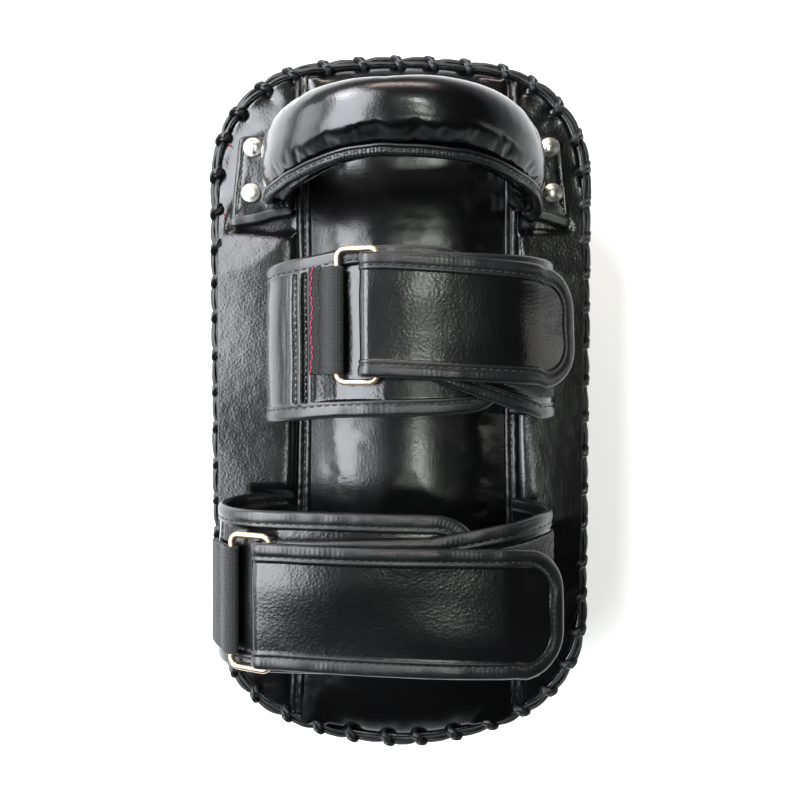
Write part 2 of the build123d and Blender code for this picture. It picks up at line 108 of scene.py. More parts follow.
def ramp(tree, value, low, high, out_low, out_high):
    node = add(tree, "ShaderNodeMapRange")
    node.inputs["From Min"].default_value = low
    node.inputs["From Max"].default_value = high
    node.inputs["To Min"].default_value = out_low
    node.inputs["To Max"].default_value = out_high
    tree.links.new(value, node.inputs["Value"])
    return node.outputs["Result"]


def two_colours(tree, value, first, second):
    node = add(tree, "ShaderNodeMix", data_type="RGBA")
    node.inputs["A"].default_value = (*first, 1)
    node.inputs["B"].default_value = (*second, 1)
    tree.links.new(value, node.inputs["Factor"])
    return node.outputs["Result"]


def bump_chain(tree, shader, layers):
    """layers: (height socket, distance in metres, strength), coarse to fine."""
    last = None
    for height, distance, strength in layers:
        node = add(tree, "ShaderNodeBump", Strength=strength, Distance=distance)
        tree.links.new(height, node.inputs["Height"])
        if last:
            tree.links.new(last, node.inputs["Normal"])
        last = node.outputs["Normal"]
    tree.links.new(last, shader.inputs["Normal"])


def leather(name, dark, light, rough, grain, grain_depth=0.00004, crease=0.000024):
    """Pebbled leather: broad creases, a fine grain and tiny pores, in object space."""
    mat, tree, shader = new_material(name)
    coords = add(tree, "ShaderNodeTexCoord").outputs["Object"]
    broad = noise(tree, coords, 22, 4)
    pebbles = add(tree, "ShaderNodeTexVoronoi", Scale=grain)
    pebbles.feature = "SMOOTH_F1"
    tree.links.new(coords, pebbles.inputs["Vector"])
    pores = noise(tree, coords, grain * 0.85, 3, 0.6)
    creases = noise(tree, coords, 60, 5, 0.55)
    colour = two_colours(tree, ramp(tree, broad, 0.35, 0.65, 0.0, 1.0), dark, light)
    tree.links.new(colour, shader.inputs["Base Color"])
    wear = noise(tree, coords, 55, 5, 0.6)
    tree.links.new(ramp(tree, wear, 0.3, 0.7, rough[0], rough[1]), shader.inputs["Roughness"])
    shader.inputs["Specular IOR Level"].default_value = 0.5
    bump_chain(tree, shader, [
        (creases, crease, 0.5),
        (pebbles.outputs["Distance"], grain_depth, 0.8),
        (pores, grain_depth, 0.7),
    ])
    return mat


def metal(name, colour, rough, brushed=False):
    mat, tree, shader = new_material(name)
    coords = add(tree, "ShaderNodeTexCoord").outputs["Object"]
    tarnish = noise(tree, coords, 160, 4)
    dull = tuple(c * 0.72 for c in colour)
    shade = two_colours(tree, ramp(tree, tarnish, 0.45, 0.75, 0, 1), colour, dull)
    tree.links.new(shade, shader.inputs["Base Color"])
    tree.links.new(ramp(tree, tarnish, 0.3, 0.7, rough * 0.7, rough * 1.5), shader.inputs["Roughness"])
    shader.inputs["Metallic"].default_value = 1.0
    scratch = noise(tree, coords, 900, 2, 0.5, (1, 0.08, 1) if brushed else (0.3, 1, 1))
    bump_chain(tree, shader, [(tarnish, 0.0002, 0.25), (scratch, 0.00003, 0.5)])
    return mat


def fabric_weave(name, colour, light, threads):
    """Webbing: UV in metres, u along and v across the tape."""
    mat, tree, shader = new_material(name)
    uv = add(tree, "ShaderNodeTexCoord").outputs["UV"]
    waves = []
    for axis, scale, distort in (("X", threads, 0.4), ("Y", threads * 0.62, 0.3)):
        wave = add(tree, "ShaderNodeTexWave", Scale=scale, Distortion=distort)
        wave.bands_direction = axis
        tree.links.new(uv, wave.inputs["Vector"])
        waves.append(wave.outputs["Fac"])
    both = add(tree, "ShaderNodeMath", operation="MULTIPLY")
    tree.links.new(waves[0], both.inputs[0])
    tree.links.new(waves[1], both.inputs[1])
    fuzz = noise(tree, uv, 2500, 2)
    tree.links.new(two_colours(tree, both.outputs["Value"], colour, light), shader.inputs["Base Color"])
    tree.links.new(ramp(tree, fuzz, 0.2, 0.8, 0.62, 0.9), shader.inputs["Roughness"])
    shader.inputs["Sheen Weight"].default_value = 0.08
    shader.inputs["Sheen Roughness"].default_value = 0.4
    bump_chain(tree, shader, [(waves[0], 0.0004, 0.7), (waves[1], 0.0003, 0.7), (fuzz, 0.0001, 0.5)])
    return mat


def fuzzy(name, dark, light, scale, depth):
    mat, tree, shader = new_material(name)
    coords = add(tree, "ShaderNodeTexCoord").outputs["Object"]
    curls = noise(tree, coords, scale, 5, 0.7)
    spots = add(tree, "ShaderNodeTexVoronoi", Scale=scale * 0.8)
    tree.links.new(coords, spots.inputs["Vector"])
    tree.links.new(two_colours(tree, ramp(tree, curls, 0.4, 0.65, 0, 1), dark, light), shader.inputs["Base Color"])
    tree.links.new(ramp(tree, curls, 0.3, 0.7, 0.75, 0.95), shader.inputs["Roughness"])
    shader.inputs["Sheen Weight"].default_value = 0.12
    bump_chain(tree, shader, [(spots.outputs["Distance"], depth, 0.9), (curls, depth * 0.7, 0.9)])
    return mat


def thread(name, colour):
    mat, tree, shader = new_material(name)
    coords = add(tree, "ShaderNodeTexCoord").outputs["Object"]
    twist = noise(tree, coords, 1800, 3)
    bright = tuple(min(1.0, c * 1.8 + 0.004) for c in colour)
    tree.links.new(two_colours(tree, twist, colour, bright), shader.inputs["Base Color"])
    tree.links.new(ramp(tree, twist, 0.3, 0.7, 0.55, 0.8), shader.inputs["Roughness"])
    bump_chain(tree, shader, [(twist, 0.00015, 0.6)])
    return mat


smooth_leather = leather(
    "black_leather_smooth", (0.0008, 0.0008, 0.0009), (0.0018, 0.0018, 0.002), (0.18, 0.235), 900, 0.00004)
panel_leather = leather(
    "black_leather_panel", (0.0012, 0.0012, 0.0013), (0.0024, 0.0024, 0.0027), (0.20, 0.24), 820, 0.00007)
bind_leather = leather(
    "black_leather_binding", (0.0025, 0.0025, 0.0028), (0.006, 0.006, 0.0065), (0.28, 0.38), 1900, crease=0.00008)
lace_leather = leather(
    "black_leather_lace", (0.0025, 0.0025, 0.0028), (0.007, 0.007, 0.008), (0.42, 0.56), 1900)
ring_metal = metal("warm_nickel_wire", (0.52, 0.41, 0.29), 0.32, True)
rivet_metal = metal("nickel_rivet", (0.52, 0.51, 0.47), 0.32)
webbing_weave = fabric_weave("black_webbing", (0.003, 0.003, 0.0034), (0.015, 0.015, 0.016), 520)
loop_fuzz = fuzzy("loop_tape", (0.001, 0.001, 0.001), (0.008, 0.008, 0.008), 1100, 0.0006)
hook_fuzz = fuzzy("hook_tape", (0.002, 0.002, 0.002), (0.012, 0.012, 0.012), 1300, 0.0004)
black_thread = thread("black_thread", (0.003, 0.003, 0.003))
red_thread = thread("crimson_thread", (0.16, 0.004, 0.02))


# ------------------------------------------------------------------ mesh tools
def grid_faces(rows, cols, wrap_rows=False, wrap_cols=False):
    r = np.arange(rows if wrap_rows else rows - 1)[:, None]
    c = np.arange(cols if wrap_cols else cols - 1)[None, :]
    r2, c2 = (r + 1) % rows, (c + 1) % cols
    quads = np.stack([r * cols + c, r * cols + c2, r2 * cols + c2, r2 * cols + c], axis=-1)
    return quads.reshape(-1, 4).tolist()


def make(name, points, faces, material, uv=None, weld=0.0, close=False):
    """A smooth mesh object from points in millimetres."""
    mesh = bpy.data.meshes.new(name)
    mesh.from_pydata((np.asarray(points, float).reshape(-1, 3) * MM).tolist(), [], faces)
    if uv is not None:
        layer = mesh.uv_layers.new(name="tape")
        index = np.zeros(len(mesh.loops), int)
        mesh.loops.foreach_get("vertex_index", index)
        layer.data.foreach_set("uv", np.asarray(uv, float).reshape(-1, 2)[index].ravel())
    bm = bmesh.new()
    bm.from_mesh(mesh)
    if weld:
        bmesh.ops.remove_doubles(bm, verts=bm.verts, dist=weld * MM)
    if close:
        edges = [e for e in bm.edges if e.is_boundary]
        bmesh.ops.holes_fill(bm, edges=edges, sides=0)
    bmesh.ops.recalc_face_normals(bm, faces=bm.faces)
    bm.to_mesh(mesh)
    bm.free()
    mesh.polygons.foreach_set("use_smooth", [True] * len(mesh.polygons))
    obj = bpy.data.objects.new(name, mesh)
    scene.collection.objects.link(obj)
    mesh.materials.append(material)
    return obj


def apply_modifiers(obj):
    graph = bpy.context.evaluated_depsgraph_get()
    graph.update()
    mesh = bpy.data.meshes.new_from_object(obj.evaluated_get(graph))
    old = obj.data
    obj.modifiers.clear()
    obj.data = mesh
    bpy.data.meshes.remove(old)
    mesh.polygons.foreach_set("use_smooth", [True] * len(mesh.polygons))
    return obj


def thicken(obj, depth):
    mod = obj.modifiers.new("thick", "SOLIDIFY")
    mod.thickness = depth * MM
    mod.offset = -1
    return apply_modifiers(obj)


def subdivide(obj, levels=1):
    mod = obj.modifiers.new("fine", "SUBSURF")
    mod.levels = mod.render_levels = levels
    return apply_modifiers(obj)


def place(obj, body, replaced=()):
    if body:
        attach(obj, body)
    if replaced:
        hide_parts(*replaced)
    return obj


def waves(u, v, length, count=7, seed=1):
    """Smooth repeatable ripples of about unit height, with that wavelength."""
    r = np.random.default_rng(seed)
    total = 0.0
    for _ in range(count):
        angle, phase = r.uniform(0, 2 * math.pi, 2)
        k = 2 * math.pi / (length * r.uniform(0.7, 1.5))
        total = total + np.sin(k * (u * math.cos(angle) + v * math.sin(angle)) + phase)
    return total / math.sqrt(count)


def lengths(points):
    """Distance along a line of points, from its first one."""
    return np.concatenate([[0], np.cumsum(np.linalg.norm(np.diff(points, axis=0), axis=1))])


def same(vector, count):
    """One direction, repeated for each of count points."""
    return np.tile(vector, (count, 1))


def vertex_values(obj, kind="co"):
    """The vertices' places in metres, or their normals, as an array of rows."""
    flat = np.zeros(len(obj.data.vertices) * 3)
    obj.data.vertices.foreach_get(kind, flat)
    return flat.reshape(-1, 3)


def face_up(obj):
    """Turn an open sheet so that its faces look out of the pad."""
    faces = obj.data.polygons
    if faces[len(faces) // 2].normal.z < 0:
        obj.data.flip_normals()


def smooth_step(x, low, high):
    t = np.clip((x - low) / (high - low), 0, 1)
    return t * t * (3 - 2 * t)


def resample(points, step=None, count=None, closed=False):
    points = np.asarray(points, float)
    if closed:
        points = np.vstack([points, points[:1]])
    along = lengths(points)
    if count is None:
        count = max(2, int(round(along[-1] / step)) + 1)
    at = np.linspace(0, along[-1], count + 1)[:-1] if closed else np.linspace(0, along[-1], count)
    return np.stack([np.interp(at, along, points[:, k]) for k in range(points.shape[1])], axis=1)


def curve_through(points, per=8):
    """Catmull-Rom curve through the points."""
    p = np.asarray(points, float)
    p = np.vstack([2 * p[0] - p[1], p, 2 * p[-1] - p[-2]])
    out = []
    for i in range(1, len(p) - 2):
        t = np.linspace(0, 1, per, endpoint=False)[:, None]
        a, b, c, d = p[i - 1], p[i], p[i + 1], p[i + 2]
        out.append(0.5 * (2 * b + (c - a) * t + (2 * a - 5 * b + 4 * c - d) * t**2 + (3 * b - a - 3 * c + d) * t**3))
    out.append(p[-2][None])
    return np.vstack(out)


def ribbon(path, side, half_width, half_thick, sides=10, power=0.75, closed=False):
    """A flat tape along path: side is its width direction at each point."""
    path = np.asarray(path, float)
    ahead = np.roll(path, -1, 0) - np.roll(path, 1, 0)
    if not closed:
        ahead[0], ahead[-1] = path[1] - path[0], path[-1] - path[-2]
    ahead /= np.linalg.norm(ahead, axis=1)[:, None]
    side = side - (side * ahead).sum(1)[:, None] * ahead
    side /= np.linalg.norm(side, axis=1)[:, None]
    up = np.cross(ahead, side)
    a = np.linspace(0, 2 * math.pi, sides, endpoint=False)
    w = np.sign(np.cos(a)) * np.abs(np.cos(a)) ** power
    h = np.sign(np.sin(a)) * np.abs(np.sin(a)) ** power
    hw = np.broadcast_to(half_width, (len(path),))[:, None, None]
    ht = np.broadcast_to(half_thick, (len(path),))[:, None, None]
    points = path[:, None] + side[:, None] * (hw * w[None, :, None]) + up[:, None] * (ht * h[None, :, None])
    return points.reshape(-1, 3), grid_faces(len(path), sides, closed, True)


class Heap:
    """Many small closed shapes gathered into one mesh."""

    def __init__(self):
        self.points, self.faces, self.count = [], [], 0

    def put(self, points, faces, caps=None):
        points = np.asarray(points, float).reshape(-1, 3)
        self.points.append(points)
        self.faces += [tuple(i + self.count for i in f) for f in faces]
        if caps:
            rows, cols = caps
            self.faces.append(tuple(self.count + i for i in range(cols)))
            self.faces.append(tuple(self.count + (rows - 1) * cols + i for i in reversed(range(cols))))
        self.count += len(points)

    def made(self, name, material):
        return make(name, np.vstack(self.points), self.faces, material)


def stitch_row(heap, points, normals, length=2.5, radius=0.33, lift=0.12):
    """Short thread bumps along a line; points are the middles, one stitch for each."""
    points, normals = np.asarray(points, float), np.asarray(normals, float)
    ahead = np.gradient(points, axis=0)
    ahead /= np.linalg.norm(ahead, axis=1)[:, None] + 1e-12
    profile = ((-0.5, 0.25, -0.35), (-0.38, 0.8, 0.0), (0.0, 1.0, 0.22), (0.38, 0.8, 0.0), (0.5, 0.25, -0.35))
    a = np.linspace(0, 2 * math.pi, 6, endpoint=False)
    faces = grid_faces(5, 6, False, True)
    for p, n, t in zip(points, normals, ahead):
        b = np.cross(t, n)
        ring = []
        for along, fat, high in profile:
            centre = p + t * along * length + n * (lift + high * radius)
            ring.append(centre + radius * fat * (np.cos(a)[:, None] * b + np.sin(a)[:, None] * n))
        heap.put(np.vstack(ring), faces, (5, 6))


# ------------------------------------------------------------------ the outline
HALF_LENGTH = (cad_high.y - cad_low.y) / 2 / MM
TOP_CORNER = (41.5, 123.5, 63.5)
LOW_CORNER = (40.5, -118.5, 62.0)
RIM_Z = span("back_panel_left")[1][2]
FRONT_SEAM_Z = span("strike_face")[1][2]
STITCHES = 53
SAMPLES = 12  # points of the rim for each stitch


def crown_radius(width, rise, corner):
    return (width**2 + rise**2 - corner**2) / (2 * (rise - corner))


def rim_line():
    """Dense points clockwise round the outline, with inward normals."""
    ends = []
    for (cx, cy, r), way in ((TOP_CORNER, 1), (LOW_CORNER, -1)):
        big = crown_radius(cx, HALF_LENGTH - abs(cy), r)
        ends.append((cx, cy, r, way * (HALF_LENGTH - big), big, math.degrees(math.asin(cx / (big - r)))))
    (tx, ty, tr, tcy, tbig, tlean), (lx, ly, lr, lcy, lbig, llean) = ends
    dx, dy = tx - lx, ty - ly
    slope = math.degrees(math.asin((lr - tr) / math.hypot(dx, dy)) - math.atan2(dx, dy))
    arcs = [
        (0, tcy, tbig, 90 + tlean, 90 - tlean), (tx, ty, tr, 90 - tlean, slope),
        (lx, ly, lr, slope, -90 + llean), (0, lcy, lbig, -90 + llean, -90 - llean),
        (-lx, ly, lr, -90 - llean, -180 - slope), (-tx, ty, tr, 180 - slope, 90 + tlean),
    ]
    rows = []
    for cx, cy, r, a0, a1 in arcs:
        a = np.radians(np.linspace(a0, a1, 400))
        rows.append(np.stack([cx + r * np.cos(a), cy + r * np.sin(a), -np.cos(a), -np.sin(a)], 1))
    dense = np.vstack(rows)
    along = lengths(dense[:, :2])
    keep = np.concatenate([[True], np.diff(along) > 1e-9])
    return dense[keep], along[keep]


RIM_DENSE, RIM_ALONG = rim_line()
PERIMETER = RIM_ALONG[-1]
PITCH = PERIMETER / STITCHES


def rim_at(s):
    """Points and inward normals of the outline at those distances along it."""
    s = np.mod(s, PERIMETER)
    cols = [np.interp(s, RIM_ALONG, RIM_DENSE[:, k]) for k in range(4)]
    normal = np.stack(cols[2:], 1)
    return np.stack(cols[:2], 1), normal / np.linalg.norm(normal, axis=1)[:, None]


RIM_S = np.arange(STITCHES * SAMPLES) * PERIMETER / (STITCHES * SAMPLES)
RIM_P, RIM_N = rim_at(RIM_S)
STITCH_S = (np.arange(STITCHES) + 0.5) * PITCH + draw.uniform(-1.2, 1.2, STITCHES)
FOLDS = [
    (k, draw.uniform(-0.85, 0.85), draw.uniform(7, 20), draw.uniform(0.12, 0.5), draw.uniform(1.0, 2.2), sign)
    for k in range(STITCHES) for sign in (-1, -1, 1, 1)
]


def rim_place(x, y):
    """Distance along the rim and inside it, for points in plan."""
    s, d = np.zeros(len(x)), np.zeros(len(x))
    coarse = RIM_DENSE[::2]
    along = RIM_ALONG[::2]
    for i in range(0, len(x), 1500):
        gap = np.hypot(x[i:i + 1500, None] - coarse[None, :, 0], y[i:i + 1500, None] - coarse[None, :, 1])
        near = gap.argmin(1)
        s[i:i + 1500], d[i:i + 1500] = along[near], gap[np.arange(len(near)), near]
    return s, d


def puckers(s, d, hole):
    """Height that the pulled lace gives to leather at distance d inside its edge."""
    total = np.zeros(len(s))
    for k in range(STITCHES):
        a = (s - STITCH_S[k] + PERIMETER / 2) % PERIMETER - PERIMETER / 2
        near = np.abs(a) < 34
        if not near.any():
            continue
        aa, dd = a[near], d[near]
        add_up = -1.5 * np.exp(-(aa / 1.7) ** 2 - ((dd - hole) / 2.0) ** 2)
        for kk, turn, length, tall, wide, sign in FOLDS[4 * k:4 * k + 4]:
            u = (dd - hole) * math.cos(turn) + aa * math.sin(turn)
            v = -(dd - hole) * math.sin(turn) + aa * math.cos(turn)
            reach = np.clip(1 - u / length, 0, 1) * smooth_step(u, 0.0, 3.5)
            grow = 1 + 0.05 * np.clip(u, 0, 30)
            add_up = add_up + sign * tall * np.exp(-(v / (wide * grow)) ** 2) * reach
        total[near] += add_up
    phase = (s - STITCH_S[0]) / PITCH * 2 * math.pi
    swell = (0.5 - 0.5 * np.cos(phase)) * np.clip(1 - (d - 3) / 15, 0, 1)
    return total + 0.9 * swell


# ------------------------------------------------------------------ padded block
def side_leather():
    """The side wall, from the front seam to the laced edge."""
    z = np.concatenate([np.linspace(FRONT_SEAM_Z, 78, 24), np.linspace(80, 95, 16), [96.2, 96.8, 96.7, 95.9]])
    t = (z - FRONT_SEAM_Z) / (RIM_Z - FRONT_SEAM_Z)
    inset = 3.1 - 2.0 * np.sin(math.pi * np.clip(t, 0, 0.5)) ** 0.75
    inset[-6:] += np.array([0.0, 0.1, 0.5, 1.6, 3.0, 4.6])
    inset[-9:-3] -= np.array([0.3, 0.6, 0.75, 0.8, 0.8, 0.7])
    s = np.repeat(RIM_S, len(z))
    zz = np.tile(z, len(RIM_S))
    bulge = puckers(s, RIM_Z - 1 - zz, 11.0) * 0.8
    bulge += 0.55 * waves(s, zz * 1.6, 40, 7, 3) * np.sin(math.pi * np.clip(np.tile(t, len(RIM_S)), 0, 1))
    bulge += 0.05 * waves(s, zz * 3, 11, 9, 4)
    d = np.tile(inset, len(RIM_S)) - bulge * 0.55
    d = np.maximum(d, 0.35)
    p = np.repeat(RIM_P, len(z), 0) + np.repeat(RIM_N, len(z), 0) * d[:, None]
    obj = make("side_leather", np.column_stack([p, zz]), grid_faces(len(RIM_S), len(z), True), panel_leather)
    thicken(obj, 1.4)
    return place(obj, "pad", ["side_gusset"])


def strike_leather():
    """The strike face: flat on the floor, turned up round its edge."""
    turn = np.radians(np.linspace(0, 90, 12))
    radius = 13.0
    edge_d = 2.7 + radius * (1 - np.cos(turn))
    edge_z = FRONT_SEAM_Z - 2.9 - radius * np.sin(turn)
    d = np.concatenate([[2.9, 2.8], edge_d, [18, 22, 28, 36, 46, 56]])
    z = np.concatenate([[FRONT_SEAM_Z, FRONT_SEAM_Z - 1.5], edge_z, [0.03, 0.0, 0, 0, 0, 0]])
    z = np.maximum(z, 0)
    rows = []
    spine = np.stack([np.zeros(len(RIM_P)), np.clip(RIM_P[:, 1], -125, 125)], 1)
    s = RIM_S
    for dj, zj in zip(d, z):
        p = RIM_P + RIM_N * dj
        lift = 0.25 * (waves(s, s * 0 + dj, 26, 7, 8) + 1.5) * smooth_step(np.full(len(s), zj), 0.0, 2.0)
        rows.append(np.column_stack([p - RIM_N * lift[:, None] * 0.8, np.full(len(p), zj)]))
    for f in (0.25, 0.5, 0.75, 1.0):
        p = (RIM_P + RIM_N * d[-1]) * (1 - f) + spine * f
        rows.append(np.column_stack([p, np.zeros(len(p))]))
    points = np.stack(rows, 1)
    obj = make("strike_face_leather", points, grid_faces(len(RIM_S), len(rows), True), panel_leather, weld=0.05)
    return place(obj, "pad", ["strike_face"])


def front_piping():
    s = np.linspace(0, PERIMETER, STITCHES * 16, endpoint=False)
    p, n = rim_at(s)
    wobble = 0.18 * waves(s, 0 * s, 9, 6, 5)
    path = np.column_stack([p + n * (2.0 + wobble)[:, None], np.full(len(p), FRONT_SEAM_Z) + wobble * 0.4])
    side = np.column_stack([np.zeros((len(p), 2)), np.ones(len(p))])
    points, faces = ribbon(path, side, 2.0 + 0.12 * waves(s, 0 * s, 6, 5, 9), 1.9, 12, 1.0, True)
    obj = make("front_piping_roll", points, faces, bind_leather)
    place(obj, "pad", ["front_piping"])
    heap = Heap()
    middle = (np.arange(int(PERIMETER / 4)) + 0.5) * PERIMETER / int(PERIMETER / 4)
    p, n = rim_at(middle)
    q = np.column_stack([p + n * 2.35, np.full(len(p), FRONT_SEAM_Z + 5.0)])
    stitch_row(heap, q, np.column_stack([-n, np.zeros(len(p))]), 2.8, 0.35, 0.35)
    place(heap.made("front_seam_stitches", black_thread), "pad")


SEAM_LEFT = ((-58.6, -190.0), (-52.5, 0.0), (-55.0, 190.0))
SEAM_RIGHT = ((65.5, -190.0), (60.5, 0.0), (62.0, 190.0))


def seam_x(seam, y):
    """The seam line's x at those heights of the pad."""
    (x0, y0), (x1, y1), (x2, y2) = seam
    a = (y - y1) * (y - y2) / ((y0 - y1) * (y0 - y2))
    b = (y - y0) * (y - y2) / ((y1 - y0) * (y1 - y2))
    c = (y - y0) * (y - y1) / ((y2 - y0) * (y2 - y1))
    return a * x0 + b * x1 + c * x2


def box_mask(x, y, low, high, soft):
    """1 inside a plan box, fading to 0 over soft millimetres outside it."""
    gap = np.maximum(np.maximum(low[0] - x, x - high[0]), np.maximum(low[1] - y, y - high[1]))
    return 1 - smooth_step(gap, 0.0, soft)


def side_panel(name, node, seam, side):
    """A back panel: puffed, puckered at the lace and pressed down under its tab and strap."""
    edge = 4.3
    s = np.arange(0, PERIMETER, 1.75)
    p, n = rim_at(s)
    p = p + n * edge
    inner = seam_x(seam, p[:, 1]) + side * 2.6
    chosen = (p[:, 0] - inner) * side > 0.6
    order = np.argsort(p[chosen][:, 1])
    p, inner = p[chosen][order], inner[chosen][order]
    f = np.concatenate([[0, 0.012, 0.03], np.linspace(0.06, 0.94, 28), [0.97, 0.99, 1.0]])
    x = inner[:, None] + (p[:, 0] - inner)[:, None] * f[None]
    y = np.repeat(p[:, 1][:, None], len(f), 1)
    rs, rd = rim_place(x.ravel(), y.ravel())
    rs, rd = rs.reshape(x.shape), rd.reshape(x.shape)
    gap_seam = np.abs(x - seam_x(seam, y))
    # the panel's rise from the rim: its height, the distance it takes, its curve and its fall at the seam
    rise, reach, power, at_seam = (6.2, 54.0, 0.95, 2.2) if side < 0 else (5.0, 56.0, 1.15, 0.9)
    fall = 0.9 * (1 - np.exp(-(rd - 3.5) / 4.0)) + rise * np.clip(rd / reach, 0.0, 1.0) ** power
    drop = smooth_step(y, 10, 95)
    if side < 0:
        fall = fall + 0.8 * smooth_step(-y, -30.0, 45.0) * smooth_step(rd, 3.0, 22.0)
    fall = fall - 2.0 * drop * (1 - np.exp(-(rd - 3.5) / 2.5))
    puff = (1 - np.exp(-(gap_seam - 3) / at_seam)) * fall
    puff += 0.4 * waves(x, y * 0.6, 55, 6, 21) * smooth_step(rd, 8, 20) * smooth_step(gap_seam, 4, 12)
    puff += 0.025 * waves(x, y, 10, 8, 22)
    tab_low, tab_high = span("handle_tab_left" if side < 0 else "handle_tab_right")
    press = box_mask(x, y, tab_low, tab_high, 10.0)
    if side < 0:
        root = span("low_ring_band")
        press = np.maximum(press, box_mask(x, y, (-70.0, root[0][1]), (-58.0, root[1][1] - 5.0), 12.0))
    z = RIM_Z - 0.7 + puff + puckers(rs.ravel(), rd.ravel(), 6.9).reshape(x.shape) * (1 - press)
    z = z - 1.6 * np.exp(-((rd - 4.3) / 1.1) ** 2)
    z = np.minimum(z, RIM_Z + 0.2 + 7.0 * (1 - press))
    points = np.stack([x, y, z], -1)
    obj = make(name, points, grid_faces(len(p), len(f)), panel_leather)
    face_up(obj)
    thicken(obj, 1.5)
    return place(obj, "pad", [node])


def foam_top(x, y):
    """Height of the cushion's foam: two crossed arcs, the lower one at each place."""
    def arc(at, half, low, high):
        rise = high - low
        r = (half**2 + rise**2) / (2 * rise)
        return high - r + np.sqrt(np.clip(r**2 - np.clip(np.abs(at), 0, half) ** 2, 0, None))
    return np.minimum(arc(x - 4.0, 56.0, 97.2, 110.2), arc(y, 189.0, 96.4, 110.7))


def cushion():
    """The forearm cushion between the seams: pressed up by simulated pressure."""
    u = np.linspace(0, 1, 54)
    v = np.linspace(-1, 1, 170)
    # v runs along Y; near the ends the rows close up on the laced edge
    inner_l = lambda y: seam_x(SEAM_LEFT, y) + 3.0
    inner_r = lambda y: seam_x(SEAM_RIGHT, y) - 3.0
    x_guess = inner_l(0.0) + (inner_r(0.0) - inner_l(0.0)) * u
    p, n = rim_at(np.linspace(0, PERIMETER, 3000, endpoint=False))
    p = p + n * 4.3
    top, low = p[p[:, 1] > 100], p[p[:, 1] < -100]
    top, low = top[np.argsort(top[:, 0])], low[np.argsort(low[:, 0])]
    y_top = np.interp(x_guess, top[:, 0], top[:, 1])
    y_low = np.interp(x_guess, low[:, 0], low[:, 1])
    y = np.where(v[:, None] > 0, v[:, None] * y_top[None], -v[:, None] * y_low[None])
    x = inner_l(y) + (inner_r(y) - inner_l(y)) * u[None]
    across = np.abs(2 * u - 1)[None]
    tube = (1 - across**2.6) ** 0.62
    rs, rd = rim_place(x.ravel(), y.ravel())
    rs, rd = rs.reshape(x.shape), rd.reshape(x.shape)
    ends = 1 - np.exp(-np.clip(rd - 6, 0, None) / 13.0)
    crown = span("forearm_cushion_cover")[1][2] - RIM_Z - 1.0
    z = RIM_Z - 0.6 + crown * tube * ends
    obj = make("forearm_cushion_leather", np.stack([x, y, z], -1), grid_faces(len(v), len(u)), smooth_leather)
    face_up(obj)
    held = obj.vertex_groups.new(name="sewn")
    index = np.arange(len(v) * len(u)).reshape(len(v), len(u))
    edge = np.unique(np.concatenate([index[0], index[-1], index[:, 0], index[:, -1]]))
    held.add(edge.tolist(), 1.0, "REPLACE")
    simulate(obj, "sewn", 12, pressure=2.4, slack=-0.004, cap=1.4)
    co = vertex_values(obj)
    ripple = 0.02 * waves(x.ravel(), y.ravel(), 7, 9, 31) + 0.22 * waves(x.ravel(), y.ravel() * 0.5, 48, 6, 32)
    near_seam = np.exp(-np.minimum(u, 1 - u)[None] * 112 / 7.0)
    gather = 0.3 * waves(y.ravel(), x.ravel() * 0.15, 9, 7, 33).reshape(x.shape) * near_seam
    lift = puckers(rs.ravel(), rd.ravel(), 6.9) + ripple + gather.ravel()
    sink = -1.6 * np.exp(-((rd.ravel() - 4.3) / 1.1) ** 2)
    fade = np.ones(len(co))
    fade[edge] = 0
    co[:, 2] += (lift * fade + sink) * MM
    foam_low, foam_high = span("forearm_cushion_foam")
    over = (co[:, 0] / MM > foam_low[0] - 3) & (co[:, 0] / MM < foam_high[0] + 3) & (np.abs(co[:, 1] / MM) < 179)
    foam = foam_top(co[:, 0] / MM, co[:, 1] / MM) + 2.2
    gap = co[:, 2] / MM - foam
    soft = np.where(gap > 0.6, gap, 0.6 * np.exp(np.clip(gap - 0.6, -20, 0) / 0.6))
    co[:, 2] = np.where(over, (foam + soft) * MM, co[:, 2])
    obj.data.vertices.foreach_set("co", co.ravel())
    subdivide(obj)
    thicken(obj, 1.5)
    return place(obj, "pad", ["forearm_cushion_cover", "forearm_cushion_foam"])


def simulate(obj, pins, frames, pressure, slack, cap):
    """Cloth under inner pressure, its result kept in the mesh."""
    rest = np.array([v.co for v in obj.data.vertices])
    mod = obj.modifiers.new("cloth", "CLOTH")
    s = mod.settings
    s.quality = 6
    s.mass = 0.35
    s.tension_stiffness = s.compression_stiffness = 18
    s.shear_stiffness = 8
    s.bending_stiffness = 0.6
    s.use_pressure = True
    s.uniform_pressure_force = pressure
    s.shrink_min = s.shrink_max = slack
    s.vertex_group_mass = pins
    s.effector_weights.gravity = 0
    s.air_damping = 4
    mod.collision_settings.use_collision = False
    mod.point_cache.frame_start, mod.point_cache.frame_end = 1, frames
    for f in range(1, frames + 1):
        scene.frame_set(f)
    graph = bpy.context.evaluated_depsgraph_get()
    moved = np.array([v.co for v in obj.evaluated_get(graph).data.vertices])
    step = moved - rest
    size = np.linalg.norm(step, axis=1)
    limit = cap * MM
    shorter = np.where(size > 1e-9, limit * np.tanh(size / limit) / np.maximum(size, 1e-9), 1.0)
    obj.modifiers.clear()
    obj.data.vertices.foreach_set("co", (rest + step * shorter[:, None]).ravel())
    obj.data.update()
    scene.frame_set(1)


